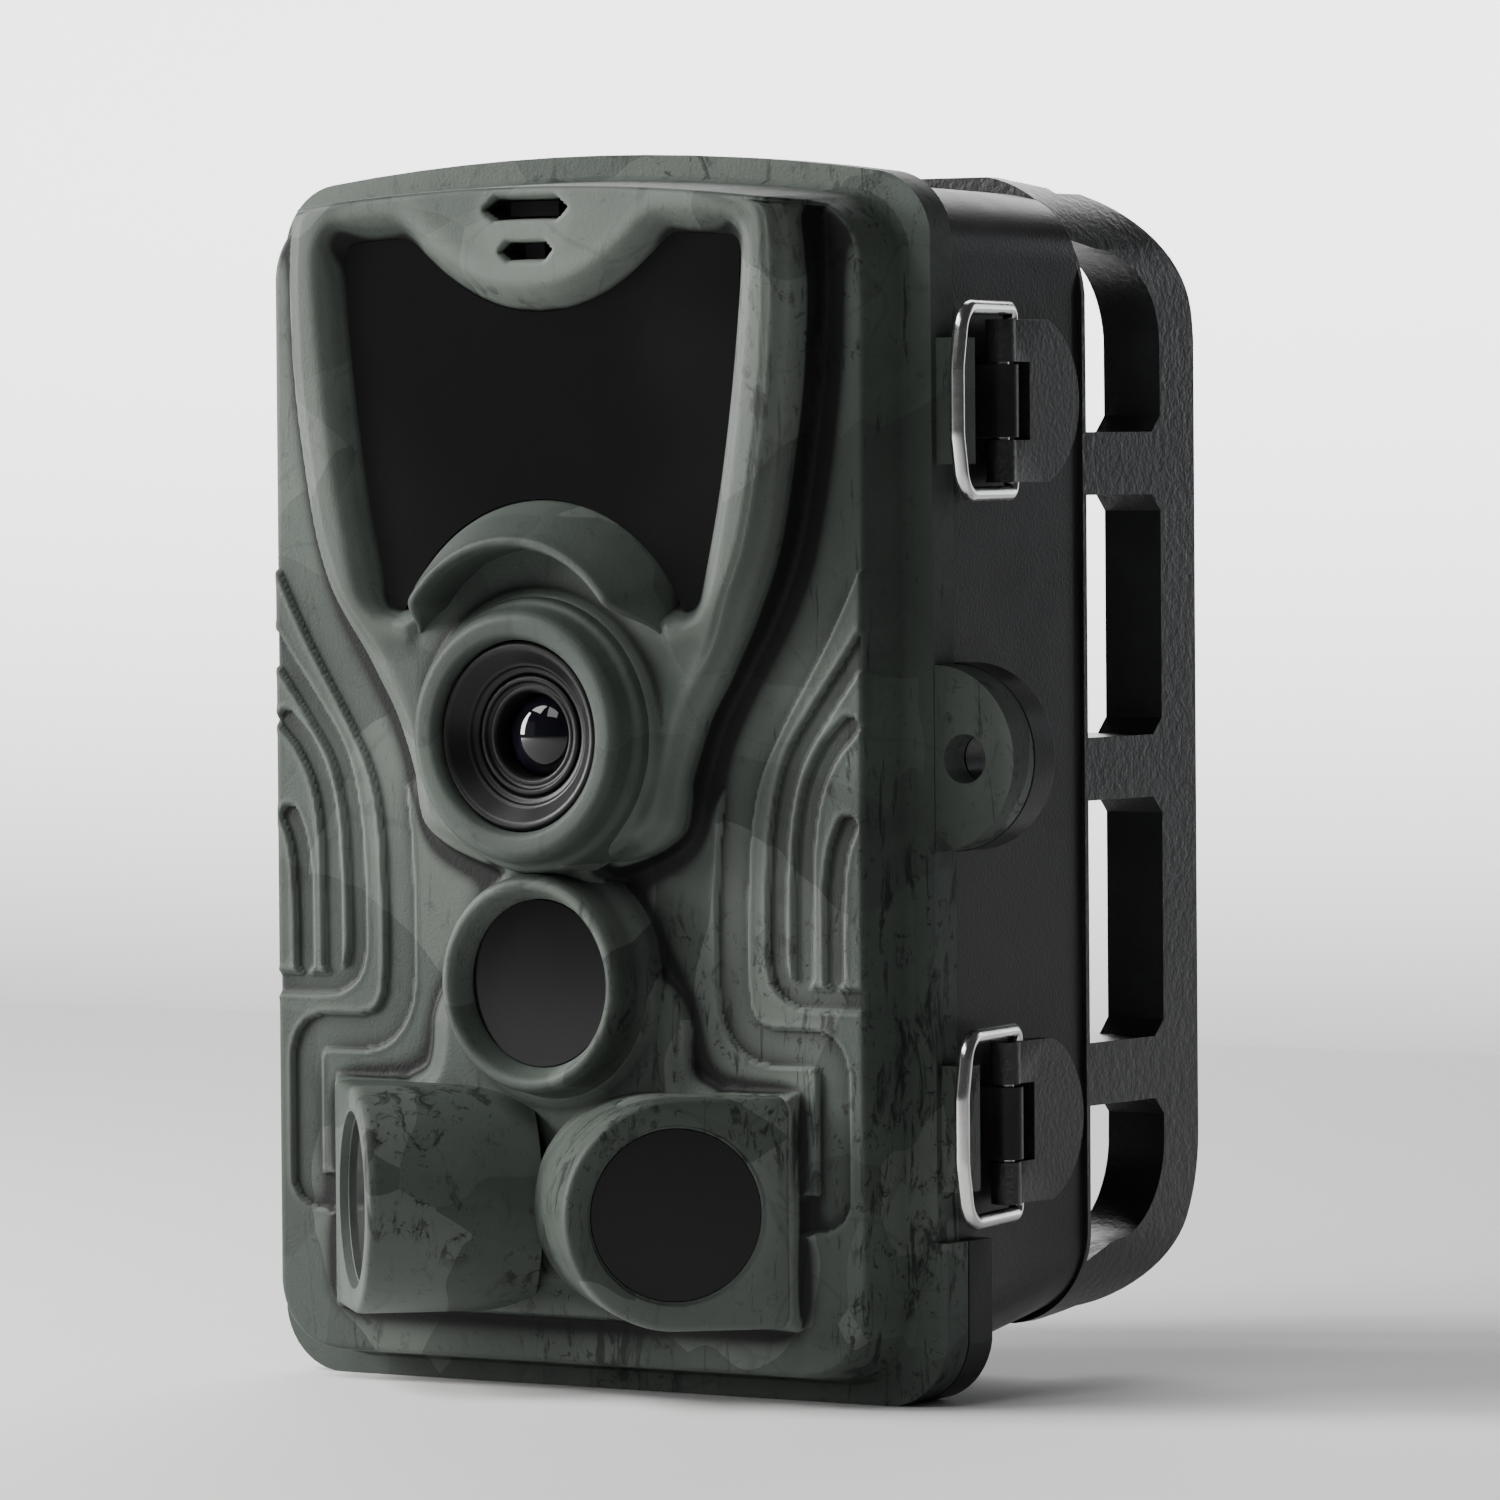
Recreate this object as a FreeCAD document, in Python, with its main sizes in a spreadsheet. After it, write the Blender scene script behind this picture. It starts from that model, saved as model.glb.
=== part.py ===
import FreeCAD, Part, Sketcher
import math
import os
import re

# Trail camera: a two-part case hinged on its left, latched on its right.
# Frame: millimetres, +Z up, the lens looks along -Y, the origin is the mouth of
# the tripod socket. "Front" distances are measured from the origin towards -Y.

os.makedirs("parts", exist_ok=True)
doc = FreeCAD.newDocument("trail_camera")

SIZES = {
    # case shells
    "case_height": 148.0, "case_half": 47.2, "crown_radius": 300.0, "corner": 8.5,
    "wall": 2.4, "parting": 14.5, "seam": 0.3, "flange": 4.6, "ledge": 3.0,
    "plate_front": 27.8, "side_draft": 1.5, "ceiling": 23.6, "shell_inset": 1.2,
    "shell_depth": 30.5, "boot_height": 19.5, "boot_flare": 1.3, "boot_depth": 5.0,
    "shell_foot": 3.0, "shell_foot_rise": 5.0,
    # raised bezel, window and tab
    "bezel_front": 34.6, "bezel_drop": 4.2, "bezel_inset": 10.5, "lens_land": 32.3,
    "lower_land": 29.6, "window_front": 31.5, "window_glass": 1.6, "window_inset": 8.0,
    "window_top_drop": 10.2, "window_ledge": 2.0, "rim_slope": 2.6, "tab_half": 18.0,
    "tab_depth": 8.6, "tab_slot_half": 5.6, "tab_slot_height": 2.6,
    # lens, hood and centre sensor
    "lens_z": 79.0, "lens_ring": 14.8, "lens_ring_front": 38.2, "lens_bore": 11.4,
    "hood_z": 84.8, "hood_base": 22.1, "hood_lip": 17.7, "hood_front": 39.0, "hood_wall": 1.3,
    "pir_z": 49.5, "pir_ring": 12.85, "pir_ring_front": 35.5, "pir_bore": 10.0,
    "pir_disc": 1.6, "pir_recess": 2.9, "glass_gap": 0.1,
    # angled side sensors
    "eye_z": 23.2, "eye_x": 23.8, "eye_front": 38.7, "eye_ring": 13.65, "eye_bore": 10.2,
    "eye_recess": 1.2, "eye_angle": 45.0,
    # side relief
    "groove_width": 4.0, "groove_depth": 2.6, "rib_width": 2.4, "slot_width": 2.8,
    # hinge
    "hinge_x": "=case_half + 2.25", "knuckle": 2.0, "knuckle_length": 10.0, "knuckle_gap": 0.4,
    "hinge_pin": 0.9, "pin_fit": 0.05, "hinge_low_z": 40.0, "hinge_top_drop": 40.0,
    # latches and padlock lug
    "latch_x": "=case_half + 1.5", "latch_back": 6.4, "latch_low_z": 32.9, "latch_top_drop": 29.8,
    "latch_half": 9.6, "latch_barrel_half": 4.3, "latch_reach": 15.6, "latch_plate": 2.2,
    "latch_pin": 1.0, "bail_wire": 0.9, "bail_half": 10.9, "bail_back": 4.2, "bail_front": 20.4,
    "catch_x": "=case_half + 3.1", "bail_x": "=catch_x + 1.3", "catch_half": 7.4, "lug_z": 76.4, "lug_radius": 10.9,
    "lug_hole": 2.9, "lug_hole_x": "=case_half + 4.1", "lug_thick": 4.4,
    # tree bracket
    "bracket_half": "=case_half - 1.2", "bracket_rail": 8.0, "bracket_depth": 25.7, "bracket_bar": 8.0,
    "bracket_plate": 2.5, "web": 7.6, "web_pitch": 36.8, "web_low_z": 37.1,
    "bracket_bend": 20.0, "bracket_corner": 16.0, "screw_radius": 1.5, "screw_head": 2.8, "screw_length": 6.0,
    # battery
    "cell_radius": 7.1, "cell_length": 50.5, "cell_gap": 0.8, "cell_spring": 2.4,
    "tray_wall": 1.6, "tray_low_z": 14.0, "cell_row_y": 3.0,
    # tripod socket and power inlet
    "socket_radius": 2.55, "socket_length": 9.0, "insert_radius": 4.0, "socket_boss": 7.5,
    "foot_half": 15.0, "foot_front": 12.0, "foot_back": 12.0,
    "jack_z": 30.0, "jack_radius": 3.6, "jack_bore": 2.75, "jack_length": 9.0, "flap_half": 6.5,
    "flap_thick": 1.6,
    # door electronics
    "panel_front": 16.6, "panel_thick": 1.6, "panel_gap": 0.3, "board_back": 18.9, "board_thick": 1.6,
    "board_half": 31.5, "board_low_z": 11.0, "board_height": 75.0, "lcd_half": 26.0,
    "lcd_height": 40.0, "lcd_z": 112.0, "lcd_thick": 2.6, "speaker_x": 34.0, "card_slot_x": 30.0, "lcd_view_half": 24.0,
    "lcd_view_height": 36.0, "lcd_glass": 1.4, "led_radius": 1.5, "led_length": 4.4,
    "led_pitch": 6.0, "button_radius": 3.4, "button_gap": 0.15, "button_proud": 1.1,
    "pad_x": 14.0, "pad_z": 62.0, "pad_pitch": 10.0, "menu_x": -14.0,
    "menu_z": 72.0, "switch_x": -14.0, "switch_z": 54.0, "switch_travel": 4.0, "panel_screw_x": "=case_half - 11.2",
    "panel_screw_z": 30.0, "gasket_width": 1.2, "gasket_depth": 1.0,
}

sheet = doc.addObject("Spreadsheet::Sheet", "sizes")
for row, (word, value) in enumerate(SIZES.items(), start=1):
    sheet.set(f"A{row}", word)
    sheet.set(f"B{row}", str(value))
    sheet.setAlias(f"B{row}", word)
doc.recompute()

V = FreeCAD.Vector
UP = V(0, 0, 1)
BACKWARD = FreeCAD.Rotation(V(1, 0, 0), -90)      # a cylinder's axis laid along +Y
SIDEWAYS = FreeCAD.Rotation(V(0, 1, 0), 90)       # a cylinder's axis laid along +X


def size(word):
    """A driving dimension as a plain number."""
    return float(sheet.get(word))


def linked(text):
    """An expression in the sheet's words, written for setExpression."""
    return re.sub(r"[a-z][a-z_]*", lambda hit: f"sizes.{hit[0]}" if hit[0] in SIZES else hit[0], text)


def bind(item, **properties):
    """Bind properties to expressions; a double underscore stands for a dot."""
    for name, text in properties.items():
        item.setExpression(name.replace("__", "."), linked(str(text)))
    return item


def box(label, length, width, height, at):
    """A box from its lowest corner, every size an expression."""
    made = doc.addObject("Part::Box", label)
    bind(made, Length=length, Width=width, Height=height)
    return place(made, at)


def cylinder(label, radius, height, at, turn=None):
    made = doc.addObject("Part::Cylinder", label)
    bind(made, Radius=radius, Height=height)
    return place(made, at, turn)


def ball(label, radius, at):
    made = doc.addObject("Part::Sphere", label)
    bind(made, Radius=radius)
    return place(made, at)


def cone(label, first, last, height, at, turn=None):
    made = doc.addObject("Part::Cone", label)
    bind(made, Radius1=first, Radius2=last, Height=height)
    return place(made, at, turn)


def place(made, at, turn=None):
    if turn is not None:
        made.Placement = FreeCAD.Placement(V(), turn)
    bind(made, Placement__Base__x=at[0], Placement__Base__y=at[1], Placement__Base__z=at[2])
    return made


def cut(label, base, *tools):
    """The base less its tools."""
    made = doc.addObject("Part::Cut", label)
    made.Base = base
    made.Tool = tools[0] if len(tools) == 1 else fuse(label + "_tools", *tools)
    return made


def fuse(label, *members):
    made = doc.addObject("Part::MultiFuse", label)
    made.Shapes = list(members)
    return made


def group(label, members):
    """Like pieces that share one node, each its own solid."""
    made = doc.addObject("Part::Compound", label)
    made.Links = list(members)
    return made


def new_body(label):
    made = doc.addObject("PartDesign::Body", label)
    made.Label = label
    return made


def sketch(body, label, role="XZ_Plane", offset="0", turn=None, shift=("0", "0")):
    """A sketch on one of the body's own planes, moved along the plane's normal."""
    made = body.newObject("Sketcher::SketchObject", label)
    plane = next(item for item in body.Origin.OriginFeatures if item.Role == role)
    made.AttachmentSupport = (plane, [""])
    made.MapMode = "FlatFace"
    if turn is not None:
        made.AttachmentOffset = FreeCAD.Placement(V(), turn)
    bind(made, AttachmentOffset__Base__x=shift[0], AttachmentOffset__Base__y=shift[1],
         AttachmentOffset__Base__z=offset)
    return made


def circle(drawn, x, y, radius):
    """A circle held by three constraints, each an expression."""
    index = drawn.addGeometry(Part.Circle(V(1, 1, 0), UP, 1))
    for kind, text in (("Radius", radius), ("DistanceX", x), ("DistanceY", y)):
        where = (index,) if kind == "Radius" else (-1, 1, index, 3)
        number = drawn.addConstraint(make_constraint(kind, where))
        drawn.setExpression(f"Constraints[{number}]", linked(str(text)))
    return drawn


def make_constraint(kind, where):
    return Sketcher.Constraint(kind, *where, 1.0)


def rectangle(drawn, low_x, low_y, high_x, high_y):
    """A rectangle held by its two corners, four expressions."""
    corners = [V(0, 0, 0), V(9, 0, 0), V(9, 9, 0), V(0, 9, 0)]
    first = drawn.GeometryCount
    for step in range(4):
        drawn.addGeometry(Part.LineSegment(corners[step], corners[(step + 1) % 4]))
    for step in range(4):
        drawn.addConstraint(Sketcher.Constraint("Coincident", first + step, 2, first + (step + 1) % 4, 1))
        flat = "Horizontal" if step % 2 == 0 else "Vertical"
        drawn.addConstraint(Sketcher.Constraint(flat, first + step))
    for kind, line, text in (("DistanceX", first, low_x), ("DistanceY", first, low_y),
                             ("DistanceX", first + 2, high_x), ("DistanceY", first + 2, high_y)):
        number = drawn.addConstraint(Sketcher.Constraint(kind, -1, 1, line, 1, 1.0))
        drawn.setExpression(f"Constraints[{number}]", linked(str(text)))
    return drawn


def chain(drawn, *runs):
    """A closed outline: each run is two points (line), three (arc) or more (smooth curve)."""
    for run in runs:
        points = [V(*point, 0) for point in run]
        if len(points) == 2:
            drawn.addGeometry(Part.LineSegment(*points))
        elif len(points) == 3:
            drawn.addGeometry(Part.Arc(*points))
        else:
            curve = Part.BSplineCurve()
            curve.interpolate(points)
            drawn.addGeometry(curve)
    return drawn


def polygon(drawn, points):
    return chain(drawn, *[(points[n - 1], points[n]) for n in range(len(points))])


def pad(body, drawn, label, length, back=False, both=False):
    made = body.newObject("PartDesign::Pad", label)
    made.Profile = drawn
    made.Reversed = back
    made.SideType = "Symmetric" if both else "One side"
    return bind(made, Length=length)


def pocket(body, drawn, label, length, both=False):
    """A cut from the sketch against its plane's normal."""
    made = body.newObject("PartDesign::Pocket", label)
    made.Profile = drawn
    made.SideType = "Symmetric" if both else "One side"
    return bind(made, Length=length)


def loft(body, kind, label, first, last):
    made = body.newObject(f"PartDesign::{kind}Loft", label)
    made.Profile = first
    made.Sections = [last]
    return made


def mirrored(body, label, *features):
    """Copies across the middle plane of the case."""
    made = body.newObject("PartDesign::Mirrored", label)
    made.Originals = list(features)
    plane = next(item for item in body.Origin.OriginFeatures if item.Role == "YZ_Plane")
    made.MirrorPlane = (plane, [""])
    body.Tip = made
    return made


def case_outline(drawn, half, low, top, corner):
    """The case's front view: flat foot, straight sides, arched crown, round corners."""
    arch = size("crown_radius")
    arch_low = top - arch
    corner_x = half - corner
    corner_z = arch_low + math.sqrt((arch - corner) ** 2 - corner_x ** 2)
    lean = math.atan2(corner_x, corner_z - arch_low)
    crown = (arch * math.sin(lean), arch_low + arch * math.cos(lean))
    middle = (lean + math.pi / 2) / 2
    knee = (corner_x + corner * math.sin(middle), corner_z + corner * math.cos(middle))
    toe = corner * math.sqrt(0.5)
    foot = (corner_x + toe, low + corner - toe)

    def left(point):
        return (-point[0], point[1])

    side_low = (half, low + corner)
    side_top = (half, corner_z)
    base = (corner_x, low)
    return chain(drawn, (left(base), base), (base, foot, side_low), (side_low, side_top),
                 (side_top, knee, crown), (crown, (0, top), left(crown)),
                 (left(crown), left(knee), left(side_top)), (left(side_top), left(side_low)),
                 (left(side_low), left(foot), left(base)))


def both_sides(drawn, top, side, foot):
    """A symmetric outline: an arched top, a smooth side and a flat foot."""
    left_side = [(-x, z) for x, z in reversed(side)]
    return chain(drawn, (left_side[-1], (0, top), side[0]), side, (side[-1], foot), (foot, (-foot[0], foot[1])),
                 ((-foot[0], foot[1]), left_side[0]), left_side)


def channel(drawn, route, width):
    """A closed band of even width about a smooth route."""
    sides = ([], [])
    for n, (x, z) in enumerate(route):
        before = route[max(n - 1, 0)]
        after = route[min(n + 1, len(route) - 1)]
        run = math.hypot(after[0] - before[0], after[1] - before[1])
        across = (-(after[1] - before[1]) / run * width / 2, (after[0] - before[0]) / run * width / 2)
        sides[0].append((x + across[0], z + across[1]))
        sides[1].append((x - across[0], z - across[1]))
    return chain(drawn, sides[0], (sides[0][-1], sides[1][-1]), sides[1][::-1], (sides[1][0], sides[0][0]))


def rounded(points, radii):
    """A wire of straight runs joined by tangent arcs, one radius for each corner."""
    edges = []
    start = points[0]
    for before, corner, after, radius in zip(points, points[1:], points[2:], radii):
        incoming = (before - corner).normalize()
        outgoing = (after - corner).normalize()
        opening = incoming.getAngle(outgoing)
        reach = radius / math.tan(opening / 2)
        middle = (incoming + outgoing).normalize()
        first, last = corner + incoming * reach, corner + outgoing * reach
        crest = corner + middle * (radius / math.sin(opening / 2) - radius)
        edges.append(Part.LineSegment(start, first).toShape())
        edges.append(Part.Arc(first, crest, last).toShape())
        start = last
    edges.append(Part.LineSegment(start, points[-1]).toShape())
    return Part.Wire(edges)


# ---------------------------------------------------------------- derived places
half = size("case_half")
plate_half = half - size("ledge") - size("side_draft")
plate_shift = plate_half - 42.7                   # relief follows the plate's edge
top = size("case_height")
bezel_top = top - size("bezel_drop")
bezel_half = half - size("bezel_inset")
window_top = top - size("window_top_drop")
window_half = bezel_half - size("window_inset")
lens_z = size("lens_z")
eye_turn = FreeCAD.Rotation(V(0, 1, 0), size("eye_angle"))
LATCHES = {"lower": "latch_low_z", "upper": "case_height - latch_top_drop"}
HINGES = {"lower": "hinge_low_z", "upper": "case_height - hinge_top_drop"}
TRAY_HALF = "(4 * (2 * cell_radius + cell_gap) / 2 + tray_wall)"
CELL_ROW = "(cell_length + cell_spring + tray_wall)"


def boot_outline(drawn):
    """The flared band that wraps the foot of both shells."""
    flare = half + size("boot_flare")
    corner = size("corner")
    bend = corner * math.sqrt(0.5)
    rise = size("boot_height")
    foot = flare - corner
    toe = (foot + bend, corner - bend)
    return chain(drawn, ((-foot, 0), (foot, 0)), ((foot, 0), toe, (flare, corner)), ((flare, corner), (flare, rise)),
                 ((flare, rise), (-flare, rise)), ((-flare, rise), (-flare, corner)),
                 ((-flare, corner), (-toe[0], toe[1]), (-foot, 0)))


def window_outline(drawn, spread, hood):
    """The window's edge, or the rim in front of it, spread outwards by a slope."""
    side_low = (window_half - 6.2 + spread * 1.05, lens_z + 14.8 - spread * 0.75)
    side_mid = (window_half - 1.6 + spread * 0.7, (lens_z + 14.8 + window_top) / 2)
    side_top = (window_half + spread, window_top + spread * 0.9)
    tab = (size("tab_half"), side_top[1] + 0.6)
    tab_low = (0, window_top - size("tab_depth") + spread)
    hood_z = size("hood_z")
    notch = (math.sqrt(hood ** 2 - (side_low[1] - hood_z) ** 2), side_low[1])

    def left(point):
        return (-point[0], point[1])

    return chain(drawn, (side_low, side_mid, side_top), (side_top, tab), (tab, tab_low, left(tab)),
                 (left(tab), left(side_top)), (left(side_top), left(side_mid), left(side_low)),
                 (left(side_low), left(notch)), (left(notch), (0, hood_z + hood), notch), (notch, side_low))


def bezel_side(spread):
    """The bezel's right edge, from its crown down past the lens to the lower panel."""
    ring = size("lens_ring")
    neck = (lens_z + size("pir_z")) / 2 - 0.9
    shape = [(bezel_half - 4.6, bezel_top - 1.8), (bezel_half - 1.2, bezel_top - 3.6),
             (bezel_half, bezel_top - 7), (bezel_half, bezel_top - 16), (bezel_half - 1.4, bezel_top - 30),
             (bezel_half - 7, lens_z + 14.7), (ring + 7.5, lens_z + 2), (ring + 4.9, lens_z - 5.1),
             (ring + 3.8, lens_z - 11.1), (ring - 4.2, lens_z - 15.2), (7.6, neck),
             (10.1, neck - 7), (16.7, neck - 15.4), (18.3, neck - 22), (20.9, size("eye_z") + 14)]
    return [(x + spread, z) for x, z in shape]


# ---------------------------------------------------------------- front cover
cover = new_body("front_cover")
edge = case_outline(sketch(cover, "flange_edge", offset="parting"), half, 0, top, size("corner"))
pad(cover, edge, "flange_pad", "flange")
pad(cover, boot_outline(sketch(cover, "cover_boot", offset="parting")), "cover_boot_pad", "flange")
wall_foot = sketch(cover, "wall_foot", offset="parting + flange")
case_outline(wall_foot, half - size("ledge"), size("ledge") - 0.6, top - size("ledge"), size("corner"))
wall_crest = sketch(cover, "wall_crest", offset="plate_front")
case_outline(wall_crest, plate_half, size("ledge") + 0.9, top - size("ledge") - 2.2, size("corner"))
loft(cover, "Additive", "cover_walls", wall_foot, wall_crest)
bezel_foot = sketch(cover, "bezel_foot", offset="plate_front")
lower_edge = (20.9, size("eye_z") - 5)
both_sides(bezel_foot, bezel_top + 0.6, bezel_side(0.9), (lower_edge[0] + 0.9, lower_edge[1]))
bezel_crest = sketch(cover, "bezel_crest", offset="bezel_front")
both_sides(bezel_crest, bezel_top, bezel_side(0), lower_edge)
loft(cover, "Additive", "bezel", bezel_foot, bezel_crest)

# The bezel's face steps back below the window and again below the lens.
step_profile = sketch(cover, "bezel_steps", role="YZ_Plane")
deep = -(size("hood_front") + 9)
lens_step = lens_z + 13.5
land_step = (lens_z + size("pir_z")) / 2 - 2
polygon(step_profile, [(-size("bezel_front"), lens_step), (-size("lens_land"), lens_step - 4),
                       (-size("lens_land"), land_step + 4), (-size("lower_land"), land_step - 3),
                       (-size("lower_land"), -9), (deep, -9), (deep, lens_step)])
pocket(cover, step_profile, "bezel_step_cut", "3 * case_half", both=True)
brow = circle(sketch(cover, "brow_floor", offset="bezel_front"), "0", "hood_z", "hood_lip")
pocket(cover, brow, "brow_floor_cut", "bezel_front - lens_land")

# Angled sensor bosses, round towards the middle and square towards the side.
eye_panel = sketch(cover, "eye_panel", offset="plate_front")
rectangle(eye_panel, "-(eye_x + eye_ring * cos(eye_angle))", "eye_z - eye_ring",
          "eye_x + eye_ring * cos(eye_angle)", "eye_z + eye_ring")
pad(cover, eye_panel, "eye_panel_pad", "eye_front - eye_ring * sin(eye_angle) - plate_front")
eye_round = sketch(cover, "eye_round", turn=eye_turn, shift=("eye_x", "0"), offset="eye_front")
circle(eye_round, "0", "eye_z", "eye_ring")
round_pad = pad(cover, eye_round, "eye_round_pad", "1.6 * eye_ring", back=True)
eye_square = sketch(cover, "eye_square", turn=eye_turn, shift=("eye_x", "0"), offset="eye_front")
rectangle(eye_square, "0", "eye_z - eye_ring", "eye_ring - 0.02", "eye_z + eye_ring")
square_pad = pad(cover, eye_square, "eye_square_pad", "0.6 * eye_ring", back=True)
mirrored(cover, "left_eye", round_pad, square_pad)

lens_ring = circle(sketch(cover, "lens_ring", offset="ceiling"), "0", "lens_z", "lens_ring")
pad(cover, lens_ring, "lens_ring_pad", "lens_ring_front - ceiling")
pir_ring = circle(sketch(cover, "pir_ring", offset="ceiling"), "0", "pir_z", "pir_ring")
pad(cover, pir_ring, "pir_ring_pad", "pir_ring_front - ceiling")

# Window recess with sloped walls, a seat for the glass and the way through to the LEDs.
# Its foot runs under the hood, which is added after it.
under_hood = size("hood_base") - 1.5
rim = window_outline(sketch(cover, "window_rim", offset="bezel_front"), size("rim_slope"), size("hood_lip") + 1.2)
seat = window_outline(sketch(cover, "window_edge", offset="window_front"), 0, under_hood)
loft(cover, "Subtractive", "window_recess", rim, seat)
bed = window_outline(sketch(cover, "window_bed", offset="window_front"), size("glass_gap"), under_hood)
pocket(cover, bed, "window_bed_cut", "window_glass")
light_way = window_outline(sketch(cover, "light_way", offset="window_front"), -size("window_ledge"),
                           size("hood_base") + 0.6)
pocket(cover, light_way, "light_way_cut", "window_front - ceiling + 1")

# Brow over the lens: a tapering hood swept round the lens axis.
hood_profile = sketch(cover, "hood_profile", role="YZ_Plane")
hood_z = size("hood_z")
hood_inner = size("hood_lip") - size("hood_wall")
polygon(hood_profile, [(-size("window_front") + 2, hood_z + size("hood_base")),
                       (-size("window_front"), hood_z + size("hood_base")),
                       (-size("hood_front"), hood_z + size("hood_lip")),
                       (-size("hood_front"), hood_z + hood_inner),
                       (-size("window_front") + 2, hood_z + hood_inner)])
axis = hood_profile.addGeometry(Part.LineSegment(V(-60, hood_z, 0), V(60, hood_z, 0)), True)
hood = cover.newObject("PartDesign::Revolution", "hood")
hood.Profile = hood_profile
hood.ReferenceAxis = (hood_profile, ["Axis0"])
hood.Midplane = True
hood.Angle = 140

for slot, drop, share in (("upper", 6.6, 1.0), ("lower", 11.6, 0.62)):
    slot_z = top - drop
    wide = size("tab_slot_half") * share
    tall = size("tab_slot_height") / 2
    drawn = sketch(cover, f"{slot}_tab_slot", offset="bezel_front")
    polygon(drawn, [(-wide, slot_z), (-wide + 1.2, slot_z + tall), (wide - 1.2, slot_z + tall), (wide, slot_z),
                    (wide - 1.6, slot_z - tall), (-wide + 1.6, slot_z - tall)])
    pocket(cover, drawn, f"{slot}_tab_slot_cut", "4.0")

# Side relief: a hooked channel, a narrow groove inside it and two short slots.
RELIEF = {
    "channel": ("groove_width", [(42.2, 104), (36.2, 91.5), (29.6, 81), (26.3, 74.5), (24.9, 68), (24.4, 60),
                                 (24.4, 49), (25.6, 44.4), (29.4, 42.4), (35, 42.3), (38, 40.8), (38.5, 37),
                                 (38.5, 26), (37.6, 23.2), (34.4, 22.6)]),
    "groove": ("rib_width", [(42.2, 87.6), (37, 81), (33, 75.6), (31.3, 69), (30.8, 60), (30.8, 52),
                             (32, 49.2), (35, 48.4), (42.2, 48.4)]),
    "long_slot": ("slot_width", [(41, 80.6), (37.6, 76.6), (35.6, 72), (34.6, 66), (34.4, 58), (34.4, 50)]),
    "short_slot": ("slot_width", [(40.9, 69), (39.6, 65.6), (38.8, 60), (38.7, 55), (38.7, 50)]),
}
relief_cuts = []
for label, (width, route) in RELIEF.items():
    drawn = sketch(cover, f"{label}_band", offset="plate_front + 0.1")
    channel(drawn, [(x + plate_shift, z) for x, z in route], size(width))
    relief_cuts.append(pocket(cover, drawn, f"{label}_cut", "groove_depth + 0.1"))
mirrored(cover, "left_relief", *relief_cuts)

# Inside: the cavity, then bores for the lens and the three sensors.
inner = size("wall")
cavity = sketch(cover, "cavity", offset="ceiling")
case_outline(cavity, half - size("ledge") - inner, size("ledge") + inner, top - size("ledge") - inner - 1,
             size("corner") - inner)
pocket(cover, cavity, "cavity_cut", "ceiling - parting + 1")
lens_bore = circle(sketch(cover, "lens_bore", offset="lens_ring_front + 1"), "0", "lens_z", "lens_bore")
pocket(cover, lens_bore, "lens_bore_cut", "lens_ring_front + 1 - ceiling + 1")
pir_bore = circle(sketch(cover, "pir_bore", offset="pir_ring_front"), "0", "pir_z", "pir_bore")
pocket(cover, pir_bore, "pir_bore_cut", "pir_recess + pir_disc")
pir_way = circle(sketch(cover, "pir_way", offset="pir_ring_front"), "0", "pir_z", "pir_bore - 1.5")
pocket(cover, pir_way, "pir_way_cut", "pir_ring_front - ceiling + 1")
eye_bore = sketch(cover, "eye_bore", turn=eye_turn, shift=("eye_x", "0"), offset="eye_front")
circle(eye_bore, "0", "eye_z", "eye_bore")
bore_cut = pocket(cover, eye_bore, "eye_bore_cut", "eye_recess + pir_disc")
eye_way = sketch(cover, "eye_way", turn=eye_turn, shift=("eye_x", "0"), offset="eye_front")
circle(eye_way, "0", "eye_z", "eye_bore - 1.6")
way_cut = pocket(cover, eye_way, "eye_way_cut", "1.45 * eye_ring")
mirrored(cover, "left_eye_bores", bore_cut, way_cut)

# Gasket groove in the flange's rear face.
groove_out = sketch(cover, "gasket_groove", offset="parting + gasket_depth")
groove_mid = half - (size("ledge") + inner) / 2
case_outline(groove_out, groove_mid + size("gasket_width") / 2, half - groove_mid - size("gasket_width") / 2,
             top - (half - groove_mid) + size("gasket_width") / 2, size("corner"))
case_outline(groove_out, groove_mid - size("gasket_width") / 2, half - groove_mid + size("gasket_width") / 2,
             top - (half - groove_mid) - size("gasket_width") / 2, size("corner") - size("gasket_width"))
pocket(cover, groove_out, "gasket_groove_cut", "gasket_depth + 1")


def knuckles(body, spans, front):
    """Hinge knuckles with the leaf that joins them to the shell's edge."""
    made = []
    for label, low, length in spans:
        drawn = sketch(body, f"{label}_knuckle", role="XY_Plane", offset=low)
        circle(drawn, "-hinge_x", "-parting + seam / 2", "knuckle")
        made.append(pad(body, drawn, f"{label}_knuckle_pad", length))
        leaf = sketch(body, f"{label}_leaf", role="XY_Plane", offset=low)
        near = "-parting - knuckle" if front else "-parting + seam"
        far = "-parting" if front else "-parting + knuckle"
        root = "-case_half + 1.2" if front else "-case_half + shell_inset + 0.8 * wall"
        rectangle(leaf, "-hinge_x", near, root, far)
        made.append(pad(body, leaf, f"{label}_leaf_pad", length))
    return made


def pin_way(body, label, low, length):
    drawn = sketch(body, label, role="XY_Plane", offset=f"{low} + {length}")
    circle(drawn, "-hinge_x", "-parting + seam / 2", "hinge_pin + pin_fit")
    pocket(body, drawn, f"{label}_cut", length)


for name, centre in HINGES.items():
    outer = "knuckle_length * 0.7"
    near = f"{centre} + knuckle_length / 2 + knuckle_gap"
    far = f"{centre} - knuckle_length / 2 - knuckle_gap - {outer}"
    knuckles(cover, [(f"{name}_top", near, outer), (f"{name}_low", far, outer)], True)
    pin_way(cover, f"{name}_cover_pin_way", f"{centre} - 2 * knuckle_length", "4 * knuckle_length")


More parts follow.
